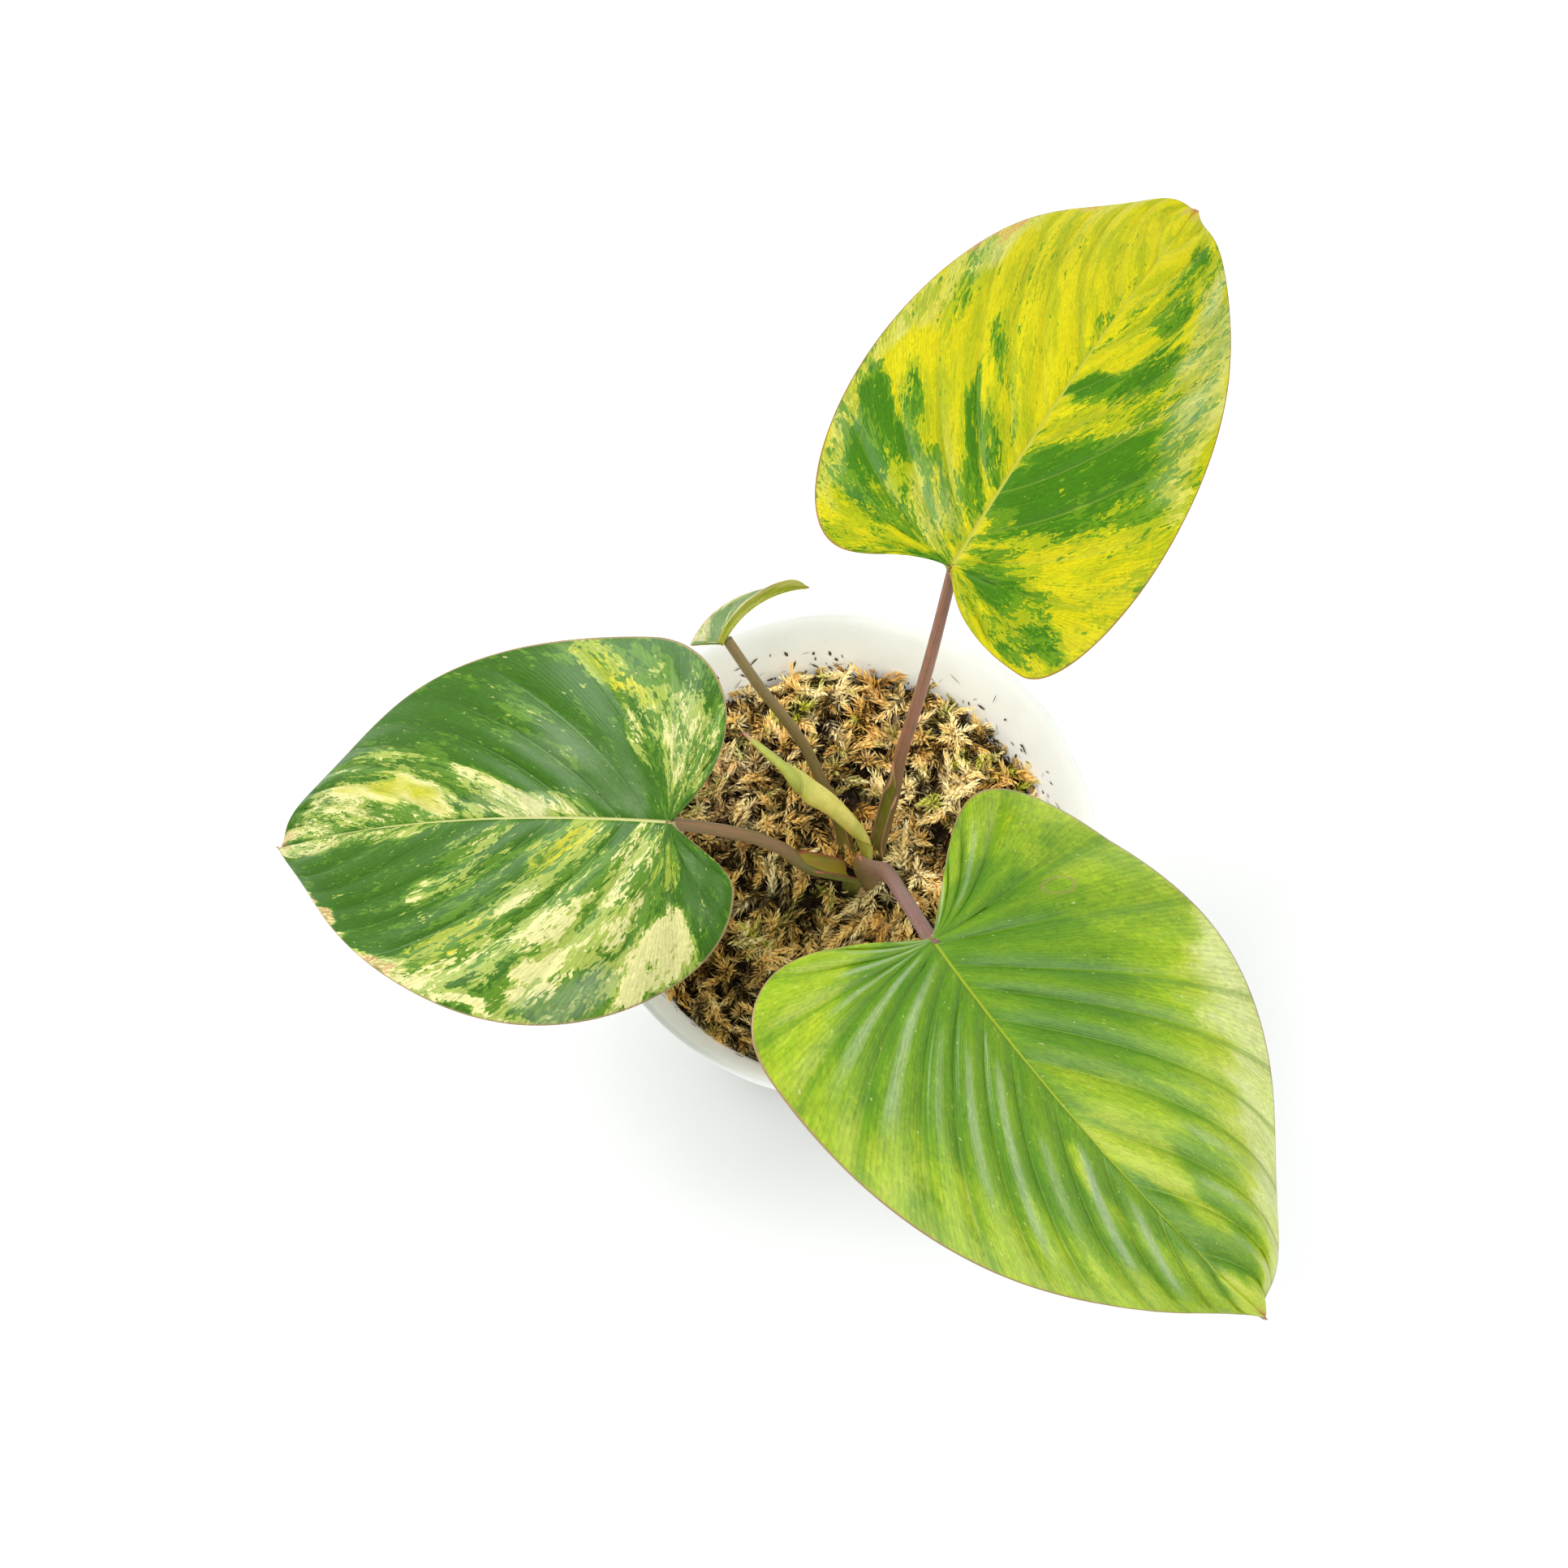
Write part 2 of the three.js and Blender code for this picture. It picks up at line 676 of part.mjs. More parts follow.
makePot();
makeMoss();
addNode("rhizome", fromSolid(stemSolid(0)), 0x8a6a4a, 0.7);
for (const name of Object.keys(STALKS)) {
  makeStalk(name);
}
for (const name of Object.keys(BLADES)) {
  makeBlade(name);
}
makeSpear();
for (const [name, chip] of Object.entries(CHIPS)) {
  addNode(`chip_${name}`, bare(chipGeometry(chip, 0)), chip.color, 0.85);
}

export default group;
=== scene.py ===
"""Potted aroid with heart-shaped variegated leaves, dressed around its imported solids."""
import json
import math

import bmesh
import bpy
import numpy as np
from mathutils import Matrix, Vector

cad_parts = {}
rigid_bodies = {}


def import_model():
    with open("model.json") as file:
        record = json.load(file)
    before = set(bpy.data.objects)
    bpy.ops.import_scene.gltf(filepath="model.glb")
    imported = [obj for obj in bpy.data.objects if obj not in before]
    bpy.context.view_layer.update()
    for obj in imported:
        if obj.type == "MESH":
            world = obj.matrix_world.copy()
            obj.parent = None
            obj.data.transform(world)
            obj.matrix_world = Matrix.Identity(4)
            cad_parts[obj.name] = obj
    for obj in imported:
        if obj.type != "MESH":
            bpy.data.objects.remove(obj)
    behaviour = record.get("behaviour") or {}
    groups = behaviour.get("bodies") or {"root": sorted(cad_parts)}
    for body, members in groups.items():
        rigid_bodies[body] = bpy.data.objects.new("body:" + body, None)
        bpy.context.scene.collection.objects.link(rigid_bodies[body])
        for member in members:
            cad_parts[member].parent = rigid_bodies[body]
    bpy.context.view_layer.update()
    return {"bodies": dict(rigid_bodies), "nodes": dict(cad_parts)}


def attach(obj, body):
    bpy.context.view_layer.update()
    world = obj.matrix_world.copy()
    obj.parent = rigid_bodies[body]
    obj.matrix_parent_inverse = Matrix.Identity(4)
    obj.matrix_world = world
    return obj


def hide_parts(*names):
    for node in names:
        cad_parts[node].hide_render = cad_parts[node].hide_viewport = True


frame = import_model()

BODY = next(iter(frame["bodies"]))
MM = 0.001
WELD = 0.001  # in millimetres
UP = np.array([0.0, 0.0, 1.0])

# Camera and light

CAMERA_PLACE = (-0.01428, -0.20091, 0.66556)
CAMERA_TILT = 21
CAMERA_LENS = 54.0086
LEAF_LIT = 1.45  # how much brighter than white paper the lamps make a leaf
FLOOR_HALF = 4000


def add_object(name, data):
    made = bpy.data.objects.new(name, data)
    bpy.context.scene.collection.objects.link(made)
    return made


def make_camera():
    data = bpy.data.cameras.new("camera")
    data.lens = CAMERA_LENS
    data.clip_start = 0.01
    camera = add_object("camera", data)
    camera.location = CAMERA_PLACE
    camera.rotation_euler = (math.radians(CAMERA_TILT), 0, 0)
    bpy.context.scene.camera = camera


def make_lamp(name, place, aim, size, power):
    data = bpy.data.lights.new(name, "AREA")
    data.shape = "DISK"
    data.size = size
    data.energy = power
    lamp = add_object(name, data)
    lamp.location = place
    lamp.rotation_euler = Vector(np.subtract(aim, place)).to_track_quat("-Z", "Y").to_euler()


def make_light():
    world = bpy.data.worlds.new("studio")
    world.use_nodes = True
    sky = world.node_tree.nodes["Background"]
    sky.inputs["Color"].default_value = (0.97, 0.99, 1.0, 1)
    sky.inputs["Strength"].default_value = 0.75
    bpy.context.scene.world = world
    make_lamp("key", (-0.75, 0.35, 1.25), (0, 0, 0.1), 0.9, 16)
    make_lamp("fill", (0.9, -0.5, 1.0), (0, 0, 0.1), 1.2, 7)
    bpy.context.scene.view_settings.view_transform = "Standard"


# Shader and node helpers


def either_way(operation):
    """The methods of one sign in Wire, with the wire before the sign and after it."""
    return (lambda wire, other: wire.maths(operation, wire, other),
            lambda wire, other: wire.maths(operation, other, wire))


class Wire:
    """One socket of a node, so that sums on it add their Math nodes."""

    def __init__(self, finish, socket):
        self.finish = finish
        self.socket = socket

    def maths(self, operation, *values):
        settings = {"operation": operation}
        return self.finish.node("ShaderNodeMath", settings, dict(enumerate(values)))[0]

    __add__, __radd__ = either_way("ADD")
    __sub__, __rsub__ = either_way("SUBTRACT")
    __mul__, __rmul__ = either_way("MULTIPLY")
    __truediv__, __rtruediv__ = either_way("DIVIDE")

    def __pow__(self, other):
        return self.maths("POWER", self, other)

    def __abs__(self):
        return self.maths("ABSOLUTE", self)

    def fract(self):
        return self.maths("FRACT", self)

    def least(self, other):
        return self.maths("MINIMUM", self, other)

    def most(self, other):
        return self.maths("MAXIMUM", self, other)


class Outputs:
    """The outputs of one node, by name or by number."""

    def __init__(self, finish, node):
        self.finish = finish
        self.node = node

    def __getitem__(self, key):
        return Wire(self.finish, self.node.outputs[key])


def fill_ramp(ramp, stops):
    elements = ramp.elements
    while len(elements) > 1:
        elements.remove(elements[-1])
    for i, (place, colour) in enumerate(stops):
        element = elements[0] if i == 0 else elements.new(place)
        element.position = place
        element.color = colour


class Nodes:
    """A node tree that is filled by one method."""

    def __init__(self, tree):
        self.tree = tree

    def node(self, kind, settings=None, inputs=None):
        made = self.tree.nodes.new(kind)
        for key, value in (settings or {}).items():
            if key == "stops":
                fill_ramp(made.color_ramp, value)
            else:
                setattr(made, key, value)
        for key, value in (inputs or {}).items():
            socket = made.inputs[key]
            if isinstance(value, Wire):
                self.tree.links.new(value.socket, socket)
            else:
                socket.default_value = value
        return Outputs(self, made)

    def parts(self, vector):
        made = self.node("ShaderNodeSeparateXYZ", None, {0: vector})
        return made[0], made[1], made[2]

    def joined(self, x, y, z=0.0):
        return self.node("ShaderNodeCombineXYZ", None, {0: x, 1: y, 2: z})[0]


def srgb(red, green, blue, lit=1.0):
    """A colour as seen on a screen, from 0 to 255, in the renderer's own numbers, on
    something that the lamps make lit times as bright as white paper."""
    shares = [value / 255 for value in (red, green, blue)]
    return (*((c / 12.92 if c <= 0.04045 else ((c + 0.055) / 1.055) ** 2.4) / lit for c in shares), 1)


class Finish(Nodes):
    """One material and the patterns that its colours are made of."""

    def __init__(self, name, lit=1.0):
        self.lit, self.colour = lit, None
        self.material = bpy.data.materials.new(name)
        self.material.use_nodes = True
        super().__init__(self.material.node_tree)
        self.tree.nodes.clear()

    def attribute(self, name):
        return self.node("ShaderNodeAttribute", {"attribute_name": name})["Fac"]

    def place(self):
        return self.node("ShaderNodeTexCoord")["Object"]

    def uv(self):
        return self.node("ShaderNodeUVMap", {"uv_map": "grain"})["UV"]

    def scaled(self, vector, factors):
        settings = {"operation": "MULTIPLY"}
        return self.node("ShaderNodeVectorMath", settings, {0: vector, 1: factors})[0]

    def noise(self, vector, scale, detail=3, rough=0.55):
        """Clouds round 0.5. The scale is one number, or one for each direction."""
        if isinstance(scale, tuple):
            vector, scale = self.scaled(vector, scale), 1.0
        inputs = {"Vector": vector, "Scale": scale, "Detail": detail, "Roughness": rough}
        return self.node("ShaderNodeTexNoise", None, inputs)["Fac"]

    def cells(self, vector, scale):
        """A random number from 0 to 1 for each cell."""
        inputs = {"Vector": self.scaled(vector, scale), "Scale": 1.0}
        made = self.node("ShaderNodeTexVoronoi", {"feature": "F1"}, inputs)
        return self.node("ShaderNodeSeparateColor", None, {0: made["Color"]})[0]

    def step(self, value, low, high):
        settings = {"interpolation_type": "SMOOTHSTEP"}
        inputs = {"Value": value, "From Min": low, "From Max": high}
        return self.node("ShaderNodeMapRange", settings, inputs)[0]

    def mix(self, share, first, second, blend="MIX"):
        """Two colours mixed. A tone of three numbers is one as seen on a screen."""
        first, second = (srgb(*c, self.lit) if isinstance(c, tuple) and len(c) == 3 else c
                         for c in (first, second))
        settings = {"data_type": "RGBA", "blend_type": blend}
        return self.node("ShaderNodeMix", settings, {0: share, 6: first, 7: second})[2]

    def lay(self, share, tone):
        """Lays a share of a tone over the colour so far."""
        self.colour = self.mix(share, self.colour, tone)

    def shade(self, light):
        self.colour = self.mix(1.0, self.colour, self.joined(light, light, light), "MULTIPLY")

    def bump(self, height, distance, strength):
        inputs = {"Height": height, "Distance": distance, "Strength": strength}
        return self.node("ShaderNodeBump", None, inputs)[0]

    def close(self, inputs):
        inputs = {"Base Color": self.colour, **inputs}
        shader = self.node("ShaderNodeBsdfPrincipled", None, inputs)[0]
        self.node("ShaderNodeOutputMaterial", None, {"Surface": shader})
        return self.material


# Mesh helpers


def unit(vectors):
    length = np.linalg.norm(vectors, axis=-1, keepdims=True)
    return vectors / np.maximum(length, 1e-12)


def smooth(low, high, value):
    t = np.clip((value - low) / (high - low), 0, 1)
    return t * t * (3 - 2 * t)


def new_mesh(name, points, faces):
    """A mesh from points in millimetres."""
    mesh = bpy.data.meshes.new(name)
    mesh.from_pydata((np.asarray(points) * MM).tolist(), [], np.asarray(faces).tolist())
    return mesh


def make_piece(name, points, faces, material, uv=None, fields=None):
    """A smooth mesh from millimetres. Points that meet are welded, and the patterns keep
    their own value at each corner."""
    _, first, back = np.unique(np.round(points / WELD).astype(np.int64), axis=0,
                               return_index=True, return_inverse=True)
    welded = back.reshape(-1)[faces]
    keep = (welded != np.roll(welded, 1, axis=1)).all(axis=1)
    corners = faces[keep].ravel()
    mesh = new_mesh(name, points[first], welded[keep])
    if uv is not None:
        layer = mesh.uv_layers.new(name="grain")
        layer.data.foreach_set("uv", uv.astype(np.float32)[corners].ravel())
    for field, values in (fields or {}).items():
        data = mesh.attributes.new(field, "FLOAT", "CORNER")
        data.data.foreach_set("value", values.astype(np.float32)[corners])
    mesh.polygons.foreach_set("use_smooth", np.ones(len(mesh.polygons), bool))
    mesh.materials.append(material)
    mesh.update()
    return add_object(name, mesh)


def grid_faces(rows, columns, start=0, wrap=False):
    """Triangles of a grid of points, row after row. wrap joins the last column to the first."""
    i, j = np.meshgrid(np.arange(rows - 1), np.arange(columns if wrap else columns - 1), indexing="ij")
    a = start + i * columns + j
    b = start + i * columns + (j + 1) % columns
    c, d = b + columns, a + columns
    return np.concatenate([np.stack(three, -1).reshape(-1, 3) for three in ([a, b, c], [a, c, d])])


def around(count):
    """Angles at even steps, once round."""
    return 2 * np.pi * np.arange(count) / count


def ring(r, z, turn):
    """Points round the upright axis."""
    return np.stack([r * np.cos(turn), r * np.sin(turn), z + 0 * turn], -1)


def settle(piece, slot, *nodes):
    """Tells the frame what the piece rides on and which nodes it stands in for. The slot is not used."""
    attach(piece, BODY)
    if nodes:
        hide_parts(*nodes)


# Blades, by the same rules and numbers as their solids

THICKNESS = 0.7
FAN = 0.3
SWEEP = 1.5
WAVE_LAG = 1.7  # between the waves of a blade's two sides
BLADE_ROWS = 240
NUDGE = 0.001  # a small step over a blade, to find its slope
FULL_LENGTH = 120  # of the blade that the next two and the fine measures are given for
ACROSS = 200  # its painted sheet, across the veins
ALONG = 55  # and along them
HILLS = 97  # how many random hills before they come again
PAINT_SEED = 4
PAINTED = ("green", "pale", "bloom", "scorch")

BLADES = {
    "a": {
        "sinus": (24.6, 41.4, 175), "length": 129,
        "left": (82, 10.5, 25, 46, 45.5, 88, 0.36), "right": (26, 14, 26.5, 28, 41, 39, 0.26),
        "heading": 59, "yaw": -1, "pitch": (6, -20), "roll": (8, -13), "cup": (0.1, 0.003),
        "pleat": 0.5, "wave": (1.3, 2.5, 0.6), "shift": (0.25, 0.2),
        "veins": ((0.05, 0.1, 0.155, 0.215, 0.28, 0.345, 0.41, 0.49, 0.57, 0.65, 0.74, 0.83, 0.92),
                  (0.06, 0.13, 0.2, 0.27, 0.34, 0.42, 0.51, 0.6, 0.68, 0.76, 0.84, 0.92)),
        "groove": 0.07,
    },
    "b": {
        "sinus": (-41.1, -11.8, 148), "length": 112.5,
        "left": (37.5, 16.5, 16, 32.5, 49, 39, 0.15), "right": (44.5, 12, 24, 7, 43.5, 64, 0.36),
        "heading": 173.5, "yaw": 2.5, "pitch": (-6, -42), "roll": (-19, 7), "cup": (0.1, 0.003),
        "pleat": 0.5, "wave": (1.5, 2, 1.9), "shift": (0.22, 0.24),
        "veins": ((0.05, 0.11, 0.17, 0.23, 0.3, 0.37, 0.44, 0.51, 0.58, 0.65, 0.73, 0.81, 0.9),
                  (0.06, 0.12, 0.18, 0.25, 0.32, 0.39, 0.46, 0.53, 0.6, 0.67, 0.75, 0.83, 0.91)),
        "groove": 0.07,
    },
    "c": {
        "sinus": (18.7, -45.9, 165), "length": 116,
        "left": (47.5, 25, 36.5, 30, 65.5, 64, 0.39), "right": (67.5, 11.5, 34.5, 6, 52, 20, 0.15),
        "heading": -55.5, "yaw": 20, "pitch": (-4, -34), "roll": (-20, -4.5), "cup": (0.1, 0.003),
        "pleat": 0.65, "wave": (1.2, 3, 0.2), "shift": (0.28, 0.19),
        "veins": ((0.045, 0.1, 0.155, 0.205, 0.27, 0.335, 0.41, 0.463, 0.53, 0.605, 0.71, 0.8, 0.9),
                  (0.06, 0.13, 0.2, 0.26, 0.3, 0.345, 0.405, 0.45, 0.515, 0.58, 0.665, 0.75, 0.84, 0.92)),
        "groove": 0.09,
    },
    "d": {
        "sinus": (-29.4, 35.4, 145), "length": 28,
        "left": (88, 1.5, 9, 3, 9, 20, 0.12), "right": (85, 0.8, 2, 14, 3.2, 45, 0.36),
        "heading": 66, "yaw": -58, "pitch": (4, -12), "roll": (-70, -72), "cup": (0.6, 0),
        "pleat": 0.12, "wave": (0.3, 1.5, 0), "shift": (0.2, 0.2),
        "veins": ((0.15, 0.3, 0.45, 0.6, 0.75, 0.88), (0.15, 0.3, 0.45, 0.6, 0.75, 0.88)),
        "groove": 0.02,
    },
}


def cubic(a, b, c, d, t):
    a, b, c, d = (np.array(p, float) for p in (a, b, c, d))
    t = t[:, None]
    s = 1 - t
    return s * s * s * a + 3 * s * s * t * b + 3 * s * t * t * c + t * t * t * d


def blade_edge(length, side):
    """Points along one side's edge, from the sinus round the lobe to the tip, with each
    point's share of the edge's length."""
    notch, back, lobe, wide, width, tip, run = side
    reach = math.hypot(back, lobe)
    t = np.linspace(0, 1, 1000)
    angle = math.radians(notch)
    start = (-0.45 * reach * math.cos(angle), 0.45 * reach * math.sin(angle))
    lower = cubic((0, 0), start, (-back, lobe - 0.27 * reach), (-back, lobe), t)
    middle = cubic((-back, lobe), (-back, lobe + 0.6 * (width - lobe)),
                   (wide - 0.5 * (wide + back), width), (wide, width), t)
    rest = length - wide
    angle = math.radians(tip)
    end = (length - run * rest * math.cos(angle), run * rest * math.sin(angle))
    upper = cubic((wide, width), (wide + 0.5 * rest, width), end, (length, 0), t)
    edge = np.concatenate([lower, middle[1:], upper[1:]])
    steps = np.linalg.norm(np.diff(edge, axis=0), axis=1)
    share = np.concatenate([[0], np.cumsum(steps)])
    return edge, share / share[-1]


def blade_flat(blade, sign, w, u):
    """Places in the flat blade: w names a side vein, from the sinus to the tip, and u goes
    out along it. The first number runs along the midrib and the second out to the side."""
    side = blade["left" if sign > 0 else "right"]
    shift = blade["shift"][sign < 0]
    edge, share = blade_edge(blade["length"], side)
    v = w + shift * np.sin(np.pi * w) * smooth(0.12, 0.48, w) * u**1.1
    rise = np.clip((v - FAN) / (1 - FAN), 0, 1)
    foot = np.stack([blade["length"] * rise**SWEEP, 0 * v], -1)
    end = np.stack([np.interp(v, share, edge[:, 0]), np.interp(v, share, edge[:, 1])], -1)
    chord = np.linalg.norm(end - foot, axis=-1)
    angle = np.radians(side[0] + (100 - side[0]) * np.clip(v / FAN, 0, 1) + 30 * rise)
    bend = foot + 0.42 * chord[..., None] * np.stack([-np.cos(angle), np.sin(angle)], -1)
    u = u[..., None]
    return (1 - u) ** 2 * foot + 2 * (1 - u) * u * bend + u * u * end


def mean_cos(a, b):
    """The mean of cos(a + b x) for x from 0 to 1."""
    near = np.abs(b) < 1e-6
    safe = np.where(near, 1, b)
    return np.where(near, np.cos(a), (np.sin(a + safe) - np.sin(a)) / safe)


def midrib_at(blade, along):
    """The midrib at distances along it, with the directions of left and up there."""
    x = np.maximum(0, along / blade["length"])
    head, pitch = math.radians(blade["heading"]), math.radians(blade["pitch"][0])
    turn = math.radians(blade["yaw"]) * x
    drop = math.radians(blade["pitch"][1] - blade["pitch"][0]) * x
    quarter = math.pi / 2
    flat = [0.5 * (mean_cos(head + pitch - lag, turn + drop) + mean_cos(head - pitch - lag, turn - drop))
            for lag in (0, quarter)]
    mean = np.stack([*flat, mean_cos(pitch - quarter, drop)], -1)
    h, p = head + turn, pitch + drop
    forward = np.stack([np.cos(p) * np.cos(h), np.cos(p) * np.sin(h), np.sin(p)], -1)
    left = np.stack([-np.sin(h), np.cos(h), 0 * h], -1)
    up = np.cross(forward, left)
    roll = np.radians(blade["roll"][0] + (blade["roll"][1] - blade["roll"][0]) * along / blade["length"])
    c, s = np.cos(roll)[..., None], np.sin(roll)[..., None]
    at = np.array(blade["sinus"]) + mean * along[..., None]
    return at, left * c + up * s, up * c - left * s


def vein_number(blade, sign, w):
    """Which side vein is here. It is a whole number on a vein and lies between on the
    ridges."""
    places = blade["veins"][sign < 0]
    return np.interp(w, [0, *places, 1.02], np.arange(len(places) + 2))


def blade_sheet(blade, sign, w, u):
    """The blade's middle surface with its patterns' numbers at each point."""
    flat = blade_flat(blade, sign, w, u)
    along, out = flat[..., 0], flat[..., 1]
    at, side, up = midrib_at(blade, along)
    cup, droop = blade["cup"]
    height, turns, phase = blade["wave"]
    number = vein_number(blade, sign, w)
    ahead = np.minimum(w + 0.004, 1)
    apart = np.linalg.norm(blade_flat(blade, sign, ahead, u) - flat, axis=-1)
    apart = apart / np.maximum(vein_number(blade, sign, ahead) - number, 1e-3)
    groove = np.abs(2 * (number % 1) - 1)
    fold = np.minimum(1, 2.2 * np.sin(np.pi * np.clip(u, 0, 1))) * np.clip(apart / 9, 0.08, 1)
    pleat = blade["pleat"] * (1 - 2 * groove**2.1) * fold * smooth(0.02, 0.12, w)
    wave = height * u**3 * np.sin(2 * np.pi * turns * w + phase + (0 if sign > 0 else WAVE_LAG))
    lift = cup * out - droop * out * out + pleat + wave * np.minimum(1, 3 * w)
    return at + side * (sign * out)[..., None] + up * lift[..., None], along, out


def random_hills(rolls, x, y):
    """Smooth random values from -1 to 1 over a plane, one hill or hollow to a unit."""
    grid = rolls.uniform(-1, 1, (HILLS, HILLS))
    i, j = np.floor(x).astype(int), np.floor(y).astype(int)
    s, t = smooth(0, 1, x - i), smooth(0, 1, y - j)
    i, j, k, m = i % HILLS, j % HILLS, (i + 1) % HILLS, (j + 1) % HILLS
    return ((grid[i, j] * (1 - s) + grid[k, j] * s) * (1 - t)
            + (grid[i, m] * (1 - s) + grid[k, m] * s) * t)


def painted(base, patches, w, u):
    """A field painted patch over patch, with ragged edges."""
    rolls = np.random.default_rng(PAINT_SEED)
    x, y = w * ACROSS, u * ALONG
    w = w + 0.014 * random_hills(rolls, x / 9, y / 17) + 0.008 * random_hills(rolls, x / 4, y / 8)
    u = u + 0.07 * random_hills(rolls, x / 8, y / 14) + 0.05 * random_hills(rolls, x / 3.2, y / 6)
    field = np.full(w.shape, float(base))
    for patch in patches:
        vein, out, half, reach, value, lean = (*patch, 0)[:6]
        across = (w - vein - lean * (u - out)) / half
        far = np.sqrt(across**2 + ((u - out) / reach) ** 2)
        cover = 1 - smooth(0.5, 1.3, far)
        field = field * (1 - cover) + value * cover
    return field


def make_blade(name, material):
    """A blade of two sides, each with an upper and an under layer closed by a thin rim."""
    blade, patterns = BLADES[name], PATTERNS[name]
    small = blade["length"] < 50
    rows = 90 if small else BLADE_ROWS
    near_rib = [0, 0.008, 0.018, 0.032, 0.05, 0.075]
    middle = np.linspace(0.105, 0.955, 14 if small else 32)
    u_line = np.concatenate([near_rib, middle, [0.972, 0.984, 0.993, 1.0]])
    w, u = np.meshgrid(np.linspace(0, 1, rows), u_line, indexing="ij")
    back_w, back_u = (np.where(v > 0.5, -1, 1) for v in (w, u))
    points, faces, uv, fields = [], [], [], {}
    count = 0
    for sign, way in ((1, "left"), (-1, "right")):
        sheet, along, out = blade_sheet(blade, sign, w, u)
        du = (blade_sheet(blade, sign, w, u + back_u * NUDGE)[0] - sheet) * back_u[..., None]
        dw = (blade_sheet(blade, sign, w + back_w * NUDGE, u)[0] - sheet) * back_w[..., None]
        normal = unit(np.cross(dw, du) * sign)
        flat_spot = (np.linalg.norm(np.cross(dw, du), axis=-1) < 1e-9) | (u == 0)
        normal = np.where(flat_spot[..., None], midrib_at(blade, along)[2], normal)
        size = blade["length"] / FULL_LENGTH
        vein_length = np.linalg.norm(blade_flat(blade, sign, w, np.ones_like(u))
                                     - blade_flat(blade, sign, w, np.zeros_like(u)), axis=-1)
        edge_mm = (1 - u) * vein_length
        half = THICKNESS / 2 * (1 - 0.5 * u**2) * (0.55 + 0.45 * smooth(0, 0.8, edge_mm))
        rib = (1.25 - 0.95 * np.clip(along / blade["length"], 0, 1)) * size
        keel = rib * np.exp(-((out / (0.9 * rib)) ** 2))
        channel = 0.35 * rib * np.exp(-((out / (0.55 * rib)) ** 2))
        number = vein_number(blade, sign, w)
        groove = np.exp(-((((number + 0.5) % 1 - 0.5) / 0.055) ** 2))
        groove = groove * smooth(0.03, 0.1, w) * smooth(1.0, 0.7, u) * smooth(0, 0.25, u)
        groove = groove * blade["groove"]
        values = {key: painted(patterns.get(f"{key}_base", 0), patterns.get(f"{key}_{way}", ()), w, u)
                  for key in PAINTED}
        values |= {"under": 0 * w, "edge": edge_mm, "rib": out / rib, "vein": number, "tip": w}
        for under in (0, 1):
            offset = -(half + keel + groove) if under else half - channel - groove
            points.append((sheet + normal * offset[..., None]).reshape(-1, 3))
            made = grid_faces(rows, len(u_line), count)
            faces.append(made[:, ::-1] if (sign > 0) == (under == 1) else made)
            count += w.size
            uv.append(np.stack([w + 2 * (sign < 0), u], -1).reshape(-1, 2))
            for key, value in {**values, "under": under + 0 * w}.items():
                fields.setdefault(key, []).append(value.ravel())
        top = count - 2 * w.size + np.arange(rows) * len(u_line) + len(u_line) - 1
        low = top + w.size
        band = np.concatenate([np.stack([top[:-1], low[:-1], low[1:]], -1),
                               np.stack([top[:-1], low[1:], top[1:]], -1)])
        faces.append(band if sign > 0 else band[:, ::-1])
    fields = {key: np.concatenate(value) for key, value in fields.items()}
    piece = make_piece(f"leaf_{name}", np.concatenate(points), np.concatenate(faces), material,
                       np.concatenate(uv), fields)
    settle(piece, f"blade_{name}", f"blade_{name}")
